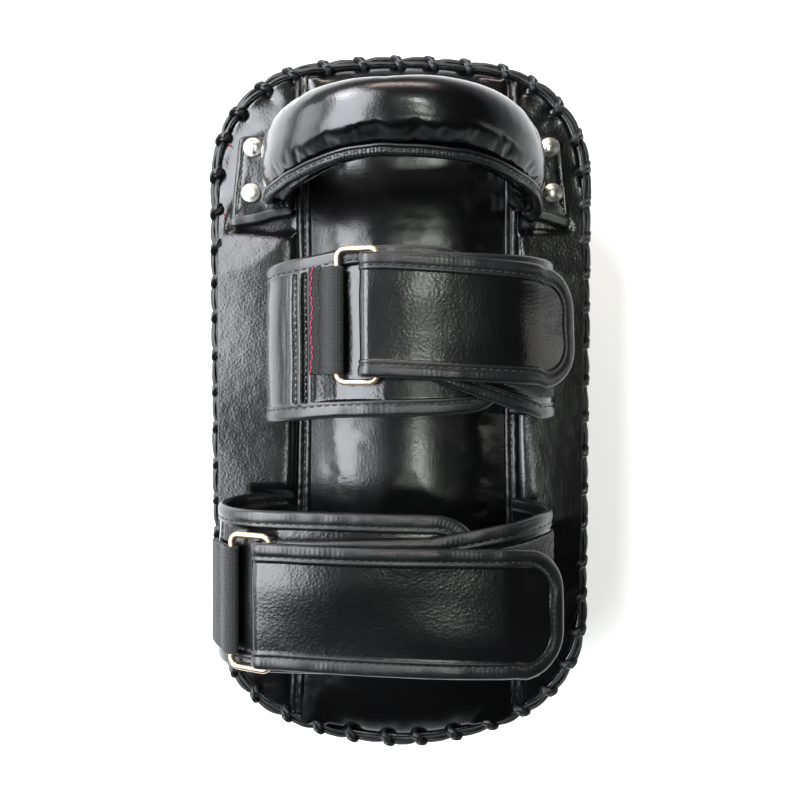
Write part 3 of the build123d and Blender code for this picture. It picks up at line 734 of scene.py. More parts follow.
def bound_seam(name, node, seam):
    """A bound seam: a groove between two soft lobes, with stitches in it."""
    low, high = span(node)
    y = np.arange(low[1] - 6.0, high[1] + 6.0, 1.4)
    x = seam_x(seam, y)
    shape = np.array([
        (-3.9, -4.5), (-3.9, 0.6), (-3.4, 2.3), (-2.4, 3.1), (-1.3, 2.9), (-0.55, 1.9), (0.0, 1.6),
        (0.55, 1.9), (1.3, 2.8), (2.4, 2.9), (3.3, 2.1), (3.7, 0.5), (3.7, -4.5),
    ])
    fade = smooth_step(y, y[0], y[0] + 14) * smooth_step(-y, -y[-1], -y[-1] + 14)
    rows = []
    seed = 41 if seam is SEAM_LEFT else 43
    for i, (px, pz) in enumerate(shape):
        ripple = 0.22 * waves(y, np.full(len(y), px), 7, 7, seed) + 0.1 * waves(y, 0 * y + px, 3.4, 5, seed + 1)
        up = RIM_Z + pz * (0.35 + 0.65 * fade) + (ripple if pz > 1 else 0)
        rows.append(np.column_stack([x + px + 0.35 * ripple, y, up - 1.2 * (1 - fade)]))
    points = np.stack(rows, 1)
    obj = make(name, points, grid_faces(len(y), len(shape)), bind_leather, close=True)
    place(obj, "pad", [node])
    heap = Heap()
    yy = np.arange(y[0] + 8, y[-1] - 8, 3.7)
    p = np.column_stack([seam_x(seam, yy), yy, np.full(len(yy), RIM_Z + 1.75)])
    stitch_row(heap, p, same((0.0, 0.0, 1.0), len(p)), 2.6, 0.36, 0.1)
    place(heap.made(name + "_stitches", black_thread), "pad")


def edge_lace():
    """One leather lace: two runs along the edge, knotted over it at every stitch."""
    heap = Heap()
    runs = (
        # in from the edge, bow outwards, height, rise, half width, half thickness, tilt, seed
        (1.45, 1.35, 95.8, 1.1, 1.5, 0.62, 0.75, 91),
        (3.3, 0.5, 97.5, 0.2, 1.1, 0.55, 0.35, 92),
    )
    per = 12
    for start, bow, level, rise, wide, thick, tilt, seed in runs:
        rng = np.random.default_rng(seed)
        s, d, z = [], [], []
        for k in range(STITCHES):
            a, b = STITCH_S[k], STITCH_S[(k + 1) % STITCHES] + (PERIMETER if k == STITCHES - 1 else 0)
            swell = rng.uniform(0.65, 1.2)
            skew = rng.uniform(0.8, 1.25)
            for i in range(per):
                f = i / per
                arch = math.sin(math.pi * f**skew)
                s.append(a + (b - a) * f)
                d.append(start - bow * swell * arch)
                z.append(level + rise * arch * swell)
        s, d, z = map(np.array, (s, d, z))
        d = np.maximum(d + 0.12 * waves(s, 0 * s, 8, 6, seed), 0.15)
        p, n = rim_at(s)
        path = np.column_stack([p + n * d[:, None], z])
        lean = tilt + 0.3 * waves(s, 0 * s, 22, 5, seed + 1)
        side = np.column_stack([n, lean])
        points, faces = ribbon(path, side, wide * (1 + 0.12 * waves(s, 0 * s, 12, 5, seed + 2)), thick, 12, 0.8, True)
        heap.put(points, faces)
    for k in range(STITCHES):
        slant = draw.uniform(1.0, 2.2)
        shift = draw.uniform(-0.5, 0.5)
        profile = [
            (6.6, 95.4, 1.0), (6.8, 97.7, 1.0), (6.3, 99.3, 0.9), (5.2, 100.2, 0.6), (3.6, 100.4, 0.25),
            (1.8, 99.4, 0.0), (0.4, 97.9, -0.15), (-0.35, 95.8, -0.3), (-0.1, 93.4, -0.5),
            (0.55, 91.0, -0.8), (0.85, 88.3, -1.0), (1.6, 86.6, -1.05), (3.6, 86.0, -1.05),
        ]
        line = curve_through(profile, 3)
        along = STITCH_S[k] + shift + slant * line[:, 2]
        q, m = rim_at(along)
        path = np.column_stack([q + m * line[:, :1], line[:, 1]])
        tangent = np.column_stack([m[:, 1], -m[:, 0], 0.25 * np.sin(np.arange(len(m)) * 0.7 + k)])
        width = np.interp(line[:, 0], [0, 3, 5, 6.8], [1.9, 2.4, 2.1, 1.5])
        width = width + 0.12 * np.sin(np.linspace(0, 9, len(line)) + k)
        pts, fcs = ribbon(path, tangent, width, 0.8, 12, 0.85)
        heap.put(pts, fcs, (len(line), 10))
        # the second wrap of the knot, lying across the first
        cross = [
            (-3.6, 1.6, 96.4), (-3.5, 1.0, 98.3), (-2.1, 1.4, 100.3), (0.2, 2.8, 101.4),
            (2.1, 4.1, 100.6), (3.0, 5.0, 98.9), (2.6, 5.4, 96.4),
        ]
        line = curve_through(cross, 3)
        q, m = rim_at(STITCH_S[k] + shift + line[:, 0])
        path = np.column_stack([q + m * line[:, 1:2], line[:, 2] - 0.2])
        width = 1.3 + 0.6 * np.sin(np.linspace(0, math.pi, len(line)))
        side = np.column_stack([-m * 0.7, np.zeros(len(m))])
        side[:, 0] += m[:, 1] * 0.7
        side[:, 1] -= m[:, 0] * 0.7
        pts, fcs = ribbon(path, side, width, 0.85, 12, 0.85)
        heap.put(pts, fcs, (len(line), 10))
    place(heap.made("edge_lace_leather", lace_leather), "pad", ["edge_lace"])
    bits = Heap()
    for k in (44, 45, 47, 49):
        q, m = rim_at(np.array([STITCH_S[k]]))
        t = np.array([m[0, 1], -m[0, 0]])
        start = q[0] + m[0] * 6.6 + t * 1.6
        line = np.array([(*start, 97.4), (*(start + m[0] * 0.9), 99.4), (*(start + m[0] * 2.4 + t * 0.9), 98.6)])
        line = curve_through(line, 4)
        pts, fcs = ribbon(line, same((m[0, 1], -m[0, 0], 0.0), len(line)), 0.3, 0.3, 6, 1.0)
        bits.put(pts, fcs, (len(line), 6))
    place(bits.made("thread_ends", red_thread), "pad")


side_leather()
strike_leather()
front_piping()
side_panel("back_leather_left", "back_panel_left", SEAM_LEFT, -1)
side_panel("back_leather_right", "back_panel_right", SEAM_RIGHT, 1)
cushion()
bound_seam("bound_seam_left", "seam_binding_left", SEAM_LEFT)
bound_seam("bound_seam_right", "seam_binding_right", SEAM_RIGHT)
edge_lace()


# ------------------------------------------------------------------ arm straps
BASE_Z = 101.75
LOW_ROOT_Z = 98.15
BAR_OUT = (7.0, 9.2)
WIRE = 1.5
MID = dict(
    name="mid", root_l=BASE_Z, seam_l=-52.5, seam_r=53.5, left=-64.5, right=69.5, side_z=127.0,
    side_r=28.0, top=160.5, bars=(-29.4, -10.6), turn=-14.6, on_side=False, ring_y=40.6, tape_x=-40.9, tape_y=38.6,
    band_tip=52.0, sink=2.4, band_low=((-63.0, -10.2), (-48.0, -8.6), (-30.0, -7.0), (5.0, -6.2), (51.0, -5.0)),
    band_top=((-63.0, 67.6), (-45.0, 69.6), (-22.0, 73.2), (5.0, 74.2), (30.0, 72.4), (51.0, 70.5)),
    pull=((-8.0, 70.0), (14.0, 10.5, 70.0), (11.9, 69.3)),
    flap=(84.0, (11.9, 69.3), (7.0, 64.0), 20.0, 22.0),
    tape_stitches=(-41.9, -38.6), pleats=(-50.2, -45.4), seed=5,
)
LOW = dict(
    name="low", root_l=LOW_ROOT_Z, seam_l=-62.5, seam_r=56.5, left=-88.0, right=68.5, side_z=131.0,
    side_r=28.0, top=162.0, bars=(-79.3, -60.0), turn=-64.0, on_side=True, ring_y=-92.0, tape_x=-86.5, tape_y=-92.0,
    band_tip=38.0, sink=1.2, band_low=((-86.0, -126.0), (-40.0, -126.0), (0.0, -126.0), (37.0, -126.0)),
    band_top=((-86.0, -50.0), (-40.0, -50.4), (0.0, -51.4), (37.0, -52.0)),
    pull=((-129.0, -53.0), (14.0, -125.0, -62.0), (-120.9, -63.1)),
    flap=(76.0, (-120.9, -63.1), (-127.0, -67.0), 16.0, 20.0),
    tape_stitches=(), pleats=(-87.4,), seed=6,
)


class Arch:
    """The line that the strap layers run along, seen along Y, with its outward normals."""

    def __init__(self, s, sink=3.0):
        r, zs = s["side_r"], s["side_z"]
        rise_l, rise_r = zs - s["root_l"], zs - BASE_Z
        d_l, d_r = s["seam_l"] - s["left"], s["right"] - s["seam_r"]
        low_l, low_r = (d_l**2 + rise_l**2) / (2 * d_l), (d_r**2 + rise_r**2) / (2 * d_r)
        half, middle = (s["right"] - s["left"]) / 2 - r, (s["right"] + s["left"]) / 2
        big = crown_radius(half, s["top"] - zs, r)
        lean = math.degrees(math.asin(half / (big - r)))
        foot_l = math.degrees(math.asin(min(1, (rise_l + s["sink"]) / low_l)))
        foot_r = math.degrees(math.asin(min(1, (rise_r + sink) / low_r)))
        self.lean = lean
        self.pieces = [
            (s["left"] + low_l, zs, low_l, 180 + foot_l, 180.0), (s["left"] + r, zs, r, 180.0, 90 + lean),
            (middle, s["top"] - big, big, 90 + lean, 90 - lean), (s["right"] - r, zs, r, 90 - lean, 0.0),
            (s["right"] - low_r, zs, low_r, 0.0, -foot_r),
        ]
        rows = []
        for k, (cx, cz, rr, a0, a1) in enumerate(self.pieces):
            a = np.radians(np.linspace(a0, a1, 160))
            rows.append(np.column_stack([cx + rr * np.cos(a), cz + rr * np.sin(a), np.cos(a), np.sin(a), 0 * a + k]))
        self.set_rows(np.vstack(rows))

    def set_rows(self, rows):
        step = np.linalg.norm(np.diff(rows[:, :2], axis=0), axis=1)
        keep = np.concatenate([[True], step > 1e-9])
        self.rows = rows[keep]
        self.s = lengths(self.rows[:, :2])

    def with_tail(self, angle, tail):
        """A copy that leaves the right corner at that angle and runs on straight."""
        cx, cz, rr, _, _ = self.pieces[3]
        rows = self.rows
        angles = np.degrees(np.arctan2(rows[:, 3], rows[:, 2]))
        keep = (rows[:, 4] < 3) | ((rows[:, 4] == 3) & (angles >= angle))
        a = math.radians(angle)
        start = np.array([cx + rr * math.cos(a), cz + rr * math.sin(a)])
        along = np.linspace(0.2, tail + 6, 60)[:, None]
        straight = start + along * np.array([math.sin(a), -math.cos(a)])
        extra = np.column_stack([straight, np.full(60, math.cos(a)), np.full(60, math.sin(a)), np.full(60, 5)])
        other = Arch.__new__(Arch)
        other.pieces, other.lean = self.pieces, self.lean
        other.set_rows(np.vstack([rows[keep], extra]))
        return other

    def s_at_x(self, x, out=0.0, first=0, last=9):
        """Where the layer at distance out passes x on its upper side."""
        pick = (self.rows[:, 4] >= first) & (self.rows[:, 4] <= last) & (self.rows[:, 3] >= -0.001)
        xs = self.rows[pick, 0] + out * self.rows[pick, 2]
        order = np.argsort(xs)
        return np.interp(x, xs[order], self.s[pick][order])

    def at(self, s, out):
        """Plan x and z with normals, for arrays of distances along and out."""
        x, z, nx, nz = [np.interp(s, self.s, self.rows[:, k]) for k in range(4)]
        size = np.hypot(nx, nz)
        nx, nz = nx / size, nz / size
        return x + out * nx, z + out * nz, nx, nz


class Folded:
    """A path that starts under the ring's right bar, turns round it and runs on as the flap."""

    def __init__(self, arch, turn_s, start_s, mid_low, mid_high):
        low_s = np.linspace(start_s, turn_s, 10)
        x, z, nx, nz = arch.at(low_s, mid_low)
        rows = [np.column_stack([x, z, -nx, -nz])]
        cx, cz, ux, uz = [float(v[0]) for v in arch.at(np.array([turn_s]), (mid_low + mid_high) / 2)]
        r = (mid_high - mid_low) / 2
        phi = np.radians(np.linspace(0, 180, 24))[1:-1]
        tx, tz = uz, -ux
        n = np.outer(-np.cos(phi), (ux, uz)) - np.outer(np.sin(phi), (tx, tz))
        rows.append(np.column_stack([cx + r * n[:, 0], cz + r * n[:, 1], n]))
        high_s = np.linspace(turn_s, arch.s[-1], 260)
        x, z, nx, nz = arch.at(high_s, mid_high)
        rows.append(np.column_stack([x, z, nx, nz]))
        self.rows = np.vstack(rows)
        self.s = lengths(self.rows[:, :2])

    def s_at_x(self, x, out=0.0):
        pick = self.s > 14
        return np.interp(x, self.rows[pick, 0] + out * self.rows[pick, 2], self.s[pick])

    at = Arch.at


# a strap's edge binding: distances inside the edge, and how much of its extra thickness is there
BINDING_WIDTH = 8.1
EDGE_STEPS = np.array([10.6, 9.2, 8.4, 8.05, 7.6, 7.0, 6.5, 6.1, 5.7, 5.0, 4.1, 3.2, 2.3, 1.5, 0.8, 0.3, 0.0])
EDGE_RISE = np.array([0, 0, 0.0, 0.42, 0.62, 0.58, 0.28, 0.12, 0.34, 0.72, 0.95, 1.0, 1.0, 1.0, 1.0, 1.0, 1.0])


def padded_strip(name, path, y0, y1, s0, s1, mid, plate, bound, corner, seed, swell_from=None, crown=0.35,
                 relief=None):
    """A strap with a bound and stitched edge, square at s0 and rounded at s1 where corner is set.

    y0 and y1 give the strap's edges at distances along; mid is its middle distance out,
    plate and bound the half thicknesses of its middle and of its edge.
    """
    middle = lambda s: (y0(s) + y1(s)) / 2
    half_end = (y1(s1) - y0(s1)) / 2
    hub = s1 - max(corner, 1.0) - (half_end - corner) * 0.6 if corner else s1
    side = np.linspace(s0, hub, max(4, int((hub - s0) / 0.7)))
    parts = [(side, y0(side), side)]
    if corner:
        tip = []
        a = np.radians(np.linspace(-90, 0, 16))
        tip.append(np.column_stack([s1 - corner + corner * np.cos(a), y0(s1) + corner + corner * np.sin(a)]))
        a = np.radians(np.linspace(0, 90, 16))
        tip.append(np.column_stack([s1 - corner + corner * np.cos(a), y1(s1) - corner + corner * np.sin(a)]))
        tip = np.vstack([[[hub, y0(hub)]], *tip, [[hub, y1(hub)]]])
        tip = resample(tip, 0.7)[1:-1]
        parts.append((tip[:, 0], tip[:, 1], np.full(len(tip), hub)))
    back = side[::-1]
    parts.append((back, y1(back), back))
    cs, cy, ss = [np.concatenate([p[k] for p in parts]) for k in range(3)]
    sy = middle(ss)
    reach = np.hypot(cs - ss, cy - sy)
    around = np.concatenate([[0], np.cumsum(np.hypot(np.diff(cs), np.diff(cy)))])
    inner = np.array([1.0, 0.86, 0.72, 0.58, 0.44, 0.3, 0.16, 0.05])
    e = np.concatenate([np.outer(reach - 10.6, inner) + 10.6, np.tile(EDGE_STEPS, (len(cs), 1))], 1)
    rise = np.concatenate([np.zeros(len(inner)), EDGE_RISE])[None]
    f = 1 - e / reach[:, None]
    s = ss[:, None] + (cs - ss)[:, None] * f
    y = sy[:, None] + (cy - sy)[:, None] * f
    rng = np.random.default_rng(seed)
    phase = rng.uniform(0, 6)
    warp = 1.5 * waves(around, 0 * around, 18, 5, seed + 40)
    fold_depth = 0.5 + 0.5 * np.clip(waves(around, 0 * around, 30, 5, seed + 45), -1, 1)
    gather = (0.09 * fold_depth * np.sin(around * 2 * math.pi / 2.15 + warp + phase)
              + 0.15 * waves(around, 0 * around, 13, 8, seed + 50))
    on_edge = np.exp(-((e - 3.0) / 2.6) ** 2)
    roll = np.sqrt(np.clip(1 - (np.clip(2.4 - e, 0, None) / 2.4) ** 2, 0, 1))
    top = plate + (bound - plate) * rise
    puff = crown * smooth_step(e, 8, 20) + 0.14 * waves(s, y, 34, 7, seed + 70) * smooth_step(e, 6, 14)
    fine = 0.015 * waves(s, y, 6, 8, seed + 90)
    high = (top + puff + gather[:, None] * on_edge + fine) * roll
    low = -(top - 0.15 * puff + 0.5 * gather[:, None] * on_edge) * roll
    if swell_from is not None:
        grow = smooth_step(s, swell_from, swell_from + 12)
        low = np.maximum(low, -plate * roll) * (1 - grow) + low * grow
    if relief:
        high = high + relief(s) * smooth_step(e, 7.2, 9.0)
    sag = 0.45 * waves(s * 0.6, y, 60, 5, seed + 110) * smooth_step(s, s0 + 4, s0 + 30)
    high, low = high + sag, low + sag
    rows_s = np.concatenate([s, s[:, ::-1][:, 1:]], 1)
    rows_y = np.concatenate([y, y[:, ::-1][:, 1:]], 1)
    rows_o = np.concatenate([high, low[:, ::-1][:, 1:]], 1)
    px, pz, _, _ = path.at(rows_s.ravel(), mid + rows_o.ravel())
    points = np.stack([px.reshape(rows_s.shape), rows_y, pz.reshape(rows_s.shape)], -1)
    obj = make(name, points, grid_faces(*rows_s.shape), panel_leather, weld=0.03, close=True)
    obj.data.materials.append(bind_leather)
    # welding has changed the vertices, so each looks up how far inside the edge it is
    co = np.array([v.co for v in obj.data.vertices]) / MM
    spots = np.column_stack([px, rows_y.ravel(), pz])
    finder = kdtree.KDTree(len(spots))
    for i, q in enumerate(spots):
        finder.insert(q, i)
    finder.balance()
    e_all = np.concatenate([e, e[:, ::-1][:, 1:]], 1).ravel()
    ve = np.array([e_all[finder.find(q)[1]] for q in co])
    for poly in obj.data.polygons:
        if max(ve[i] for i in poly.vertices) < BINDING_WIDTH:
            poly.material_index = 1
    # the row of stitches along the binding
    heap = Heap()
    count = int(around[-1] / 3.7)
    at = (np.arange(count) + 0.5) * around[-1] / count
    k = EDGE_STEPS.tolist().index(6.1) + len(inner)
    qs, qy, qo = [np.interp(at, around, rows[:, k]) for rows in (s, y, high)]
    x, z, nx, nz = path.at(qs, mid + qo)
    pts, nrm = np.column_stack([x, qy, z]), np.column_stack([nx, 0 * nx, nz])
    stitch_row(heap, pts, nrm, 2.7, 0.36, 0.05)
    if crown:
        x, z, nx, nz = path.at(qs, mid - np.abs(np.interp(at, around, low[:, k])))
        stitch_row(heap, np.column_stack([x, qy, z]), -np.column_stack([nx, 0 * nx, nz]), 2.7, 0.32, 0.05)
    stitches = heap.made(name + "_stitches", black_thread)
    return obj, stitches


def curve_value(s, knots):
    """A soft curve through a few (s, y) points, level beyond its ends."""
    at, y = np.array(knots).T
    dense = curve_through(np.column_stack([at, y]), 24)
    return np.interp(s, dense[:, 0], dense[:, 1])


def strap(q):
    """One arm strap: ring band, pull band, flap, webbing loop, hook and loop."""
    name, seed = q["name"], q["seed"]
    arch = Arch(q)
    total = arch.s[-1]
    s_tip = float(arch.s_at_x(q["band_tip"], 1.6, 1, 3))
    top_knots, low_knots = [
        [(float(arch.s_at_x(x, 1.6, 1, 2)), y) for x, y in q[key]] for key in ("band_top", "band_low")
    ]
    low_edge = lambda s: curve_value(s, low_knots)
    high_edge = lambda s: curve_value(s, top_knots)
    seams = [float(arch.s_at_x(x, 3.2, 1, 2)) for x in q["pleats"]]

    bar_l, bar_r = q["bars"]
    dip_s = [float(arch.s_at_x(x, 3.2, 1, 2)) for x in (bar_l - 13.0, bar_l - 1.0, bar_l + 3.5, bar_r + 3.0)]

    def pleats(s):
        """Sewn grooves with a swell at each side, and the hollow under the ring."""
        height = 0.0
        for at in seams:
            u = s - at
            height = height - 1.0 * np.exp(-(u / 0.8) ** 2) + 0.6 * np.exp(-((np.abs(u) - 2.6) / 1.5) ** 2)
        return height + np.interp(s, dip_s, (0.0, -1.7, -1.6, 0.0))

    band, sewn = padded_strip(
        f"{name}_ring_band_leather", arch, low_edge, high_edge, 0.0, s_tip, 1.6, 1.6, 2.25, 22.0, seed * 10,
        swell_from=0.0, relief=pleats,
    )
    place(band, "pad", [f"{name}_ring_band", f"{name}_ring_band_binding"])
    place(sewn, "pad")
    heap = Heap()
    for at in seams:
        y = np.arange(float(low_edge(at)) + 9.0, float(high_edge(at)) - 8.5, 3.3)
        xx, zz, ax, az = arch.at(np.full(len(y), at), 2.75)
        stitch_row(heap, np.column_stack([xx, y, zz]), np.column_stack([ax, 0 * ax, az]), 2.5, 0.36, 0.1)
    place(heap.made(f"{name}_pleat_stitches", black_thread), "pad")

    # the band from the right seam to the ring
    stop = bar_r + WIRE + 1.2
    (r0, r1), (bend_x, m0, m1), (t0, t1) = q["pull"]
    out = 6.2
    s_stop = float(arch.s_at_x(stop, out, 2, 2))
    knots_x = [stop, bend_x, 66.0]
    knots_s = [float(arch.s_at_x(x, out, 2, 3)) for x in knots_x]
    flip = lambda s: total - np.asarray(s, float)
    edge0 = lambda s: np.interp(flip(s), knots_s + [total], [t0, m0, r0, r0])
    edge1 = lambda s: np.interp(flip(s), knots_s + [total], [t1, m1, r1, r1])
    back = Arch.__new__(Arch)
    back.pieces = arch.pieces
    back.rows, back.s = arch.rows[::-1], total - arch.s[::-1]
    pull, sewn = padded_strip(
        f"{name}_pull_band_leather", back, edge0, edge1, 0.0, total - s_stop, out, 1.2, 2.0, 0.0, seed * 10 + 1,
        crown=0.0,
    )
    bar_s = np.array([arch.s_at_x(bar_r, BAR_OUT[1], 2, 2)])
    bar_x, bar_z = [float(v[0]) for v in arch.at(bar_s, BAR_OUT[1])[:2]]
    for piece in (pull, sewn):
        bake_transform(piece)
    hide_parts(f"{name}_pull_band", f"{name}_pull_band_binding")

    # the flap, with the fold that holds the ring's right bar
    tip, (a0, a1), (b0, b1), side, tail = q["flap"]
    tailed = arch.with_tail(90 - arch.lean - side, tail)
    turn_s = float(arch.s_at_x(q["turn"], 9.2, 2, 2))
    fold = Folded(tailed, turn_s, s_stop, 6.2, 12.2)
    s_tip = min(float(fold.s_at_x(tip)), fold.s[-1] - 0.5)
    s_begin = 16.0
    low_edge = lambda s: np.interp(s, [s_begin + 8, s_tip], [a0, b0])
    high_edge = lambda s: np.interp(s, [s_begin + 8, s_tip], [a1, b1])
    flap, sewn = padded_strip(
        f"{name}_flap_leather", fold, low_edge, high_edge, 0.0, s_tip, 0.0, 1.2, 2.05, 20.0, seed * 10 + 2,
        swell_from=18.0, crown=0.3,
    )
    for piece in (flap, sewn):
        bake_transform(piece)
    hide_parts(f"{name}_flap", f"{name}_flap_binding", f"{name}_strap_turn")

    webbing_loop(q, arch)
    for kind, out0, body, mat in (("loop", 8.0, "pad", loop_fuzz), ("hook", 10.5, f"{name}_flap", hook_fuzz)):
        node = f"{name}_{kind}_patch"
        low, high = span(node)
        run = arch if kind == "loop" else tailed
        x0, x1 = low[0] + 0.3, high[0] - 0.5
        sa = float(run.s_at_x(x0, out0, 2, 3))
        sb = float(run.s_at_x(x1, out0, 2, 5) if kind == "hook" else arch.s_at_x(x1 - 0.5, out0, 3, 3))
        s = np.linspace(sa, sb, int((sb - sa) / 0.9))
        yl, yh = low[1] + 0.4, high[1] - 0.4
        v = np.linspace(0, 1, int((yh - yl) / 0.9))
        sg, vg = np.meshgrid(s, v, indexing="ij")
        if kind == "loop":
            ylo = np.interp(sg, knots_s + [total], [t0, m0, r0, r0]) + 10.4
            yhi = np.interp(sg, knots_s + [total], [t1, m1, r1, r1]) - 10.4
        else:
            xg = run.at(sg.ravel(), out0)[0].reshape(sg.shape)
            ylo = np.interp(xg, [-10, tip], [a0, b0]) + 10.0
            yhi = np.interp(xg, [-10, tip], [a1, b1]) - 10.0
            round_end = np.clip((xg - (x1 - 9)) / 9, 0, 1)
            pull_in = 9 * (1 - np.sqrt(np.clip(1 - round_end**2, 0, 1)))
            ylo, yhi = ylo + pull_in, yhi - pull_in
        yg = ylo + (yhi - ylo) * vg
        fuzz = draw.uniform(-0.2, 0.2, sg.shape) + 0.1 * waves(sg, yg, 4, 8, seed)
        rim = np.minimum(np.minimum(vg, 1 - vg) * 40, np.minimum(sg - sa, sb - sg) / 1.2)
        way = 1 if kind == "loop" else -1
        face_out = out0 + way * (0.62 * np.clip(rim, 0, 1) ** 0.5 + fuzz * np.clip(rim, 0, 1))
        x, z, _, _ = run.at(sg.ravel(), face_out.ravel())
        obj = make(f"{name}_{kind}_tape", np.column_stack([x, yg.ravel(), z]), grid_faces(*sg.shape), mat)
        if obj.data.polygons[0].normal.z * way < 0:
            obj.data.flip_normals()
        thicken(obj, 0.7)
        place(obj, body, [node])


def webbing_loop(q, arch):
    """Tape doubled round the ring's left bar, its tail sewn down on the ring band."""
    first, last = (1, 1) if q["on_side"] else (2, 2)
    bar = float(arch.s_at_x(q["bars"][0], BAR_OUT[0], first, last))
    s0 = float(arch.s_at_x(q["tape_x"], 0.0, first, last))
    n = max(8, int((bar - s0) / 0.8))
    low = [(s, 4.7) for s in np.linspace(s0, bar - 0.2, n)]
    turn = [(bar + 2.3 * math.sin(p), BAR_OUT[0] - 2.3 * math.cos(p)) for p in np.linspace(0, math.pi, 16)]
    down = [(bar - 8 * f, 9.3 - 3.2 * float(smooth_step(np.array(f), 0.05, 1.0))) for f in np.linspace(0.1, 1, 12)]
    down = [p for p in down if p[0] > s0 + 0.5]
    high_s = down[-1][0]
    high = [(s, down[-1][1]) for s in np.linspace(high_s, s0 - 0.6, max(3, int((high_s - s0) / 0.8)))[1:]]
    so = np.array(low + turn + down + high)
    x, z, nx, nz = arch.at(so[:, 0], so[:, 1])
    centre = resample(np.column_stack([x, z]), 0.7)
    ahead = np.gradient(centre, axis=0)
    ahead /= np.linalg.norm(ahead, axis=1)[:, None]
    normal = np.column_stack([-ahead[:, 1], ahead[:, 0]])
    along = lengths(centre)
    cols = np.concatenate([[-25.0, -24.85, -24.4], np.linspace(-23.6, 23.6, 60), [24.4, 24.85, 25.0]])
    flat = np.concatenate([[0.0, 0.55, 0.9], np.ones(60), [0.9, 0.55, 0.0]])
    ribs = 0.10 * np.sin(2 * math.pi * cols / 2.35) * flat
    wavy = 0.10 * waves(along, 0 * along, 7, 6, q["seed"] + 7)
    weave = 0.08 * np.sin(along * 2 * math.pi / 1.9)
    points = []
    for way in (1, -1):
        c = cols if way > 0 else cols[::-1][1:-1]
        h = (0.62 * flat + ribs) if way > 0 else (0.62 * flat + ribs)[::-1][1:-1]
        off = way * h[None] + (weave[:, None] + wavy[:, None]) * (np.abs(h[None]) > 0.3)
        px = centre[:, None, 0] + normal[:, None, 0] * off
        pz = centre[:, None, 1] + normal[:, None, 1] * off
        y = q["tape_y"] + np.broadcast_to(c[None], px.shape) + 0.15 * waves(along, 0 * along, 25, 5, 3)[:, None]
        points.append(np.stack([px, y, pz], -1))
    points = np.concatenate(points, 1)
    uv = np.stack([np.broadcast_to(along[:, None], points.shape[:2]), points[..., 1]], -1) * MM
    faces = grid_faces(points.shape[0], points.shape[1], False, True)
    obj = make(f"{q['name']}_webbing_tape", points, faces, webbing_weave, uv=uv, close=True)
    place(obj, "pad", [f"{q['name']}_webbing_loop"])
    # rows of stitches that close the loop
    heap, red = Heap(), Heap()
    for i, sx in enumerate(q["tape_stitches"]):
        s_here = float(arch.s_at_x(sx, 6.9, 1, 2))
        y = np.arange(-24.2, 24.3, 2.3)
        jog = s_here + 0.35 * np.sin(y * 0.31) + 0.45 * (np.arange(len(y)) % 2)
        xx, zz, ax, az = arch.at(jog, 6.8)
        pts = np.column_stack([xx, q["tape_y"] + y, zz])
        row = red if i == 0 else heap
        stitch_row(row, pts, np.column_stack([ax, 0 * ax, az]), 2.6, 0.42 if i == 0 else 0.34, 0.0)
    if heap.count:
        place(heap.made(f"{q['name']}_webbing_stitches", black_thread), "pad")
        place(red.made(f"{q['name']}_red_stitches", red_thread), "pad")


# ------------------------------------------------------------------ the handle
MID_X, BASE = 1.4, 101.0
OVAL_OUT, OVAL_IN = (75.4, 88.0), (58.0, 60.0)
HANDLE_LOW_Y = 108.0
# how far the lower side shifts along Y by angle round the arch, and the upper side by x
LOW_SIDE = (
    (-10, -3), (0, -3), (10, -3), (22, -1.5), (35, -1), (50, 0), (65, 2), (78, 2), (90, 1.8), (100, 1.2),
    (115, -1.8), (130, -5.5), (145, -7.4), (158, -8), (168, -6.5), (175, -3.5), (180, -1), (190, -1),
)
TOP_SIDE = (
    (-76, -4.0), (-60, -4.8), (-48, -5.0), (-36, -4.4), (-20, -2.9), (0, -1.6), (20, -0.6), (40, 0.0), (76, 0.0),
)


def oval_line(t, oval):
    """A squarish half oval that narrows a little at its feet."""
    c, s = np.cos(t), np.sin(t)
    x = oval[0] * np.sign(c) * np.abs(c) ** 0.88 * (1 - 0.03 * np.exp(-np.abs(s) / 0.09))
    z = oval[1] * np.sign(s) * np.abs(s) ** 0.94
    return np.column_stack([x, z])


def handle_lean(points):
    """The handle stands a little askew and its crown reaches over the pad's end."""
    up = np.clip((points[..., 2] - BASE) / OVAL_OUT[1], 0, 1.1)
    points[..., 1] += 0.2 - 0.052 * (points[..., 0] - MID_X) + 5.0 * up
    return points


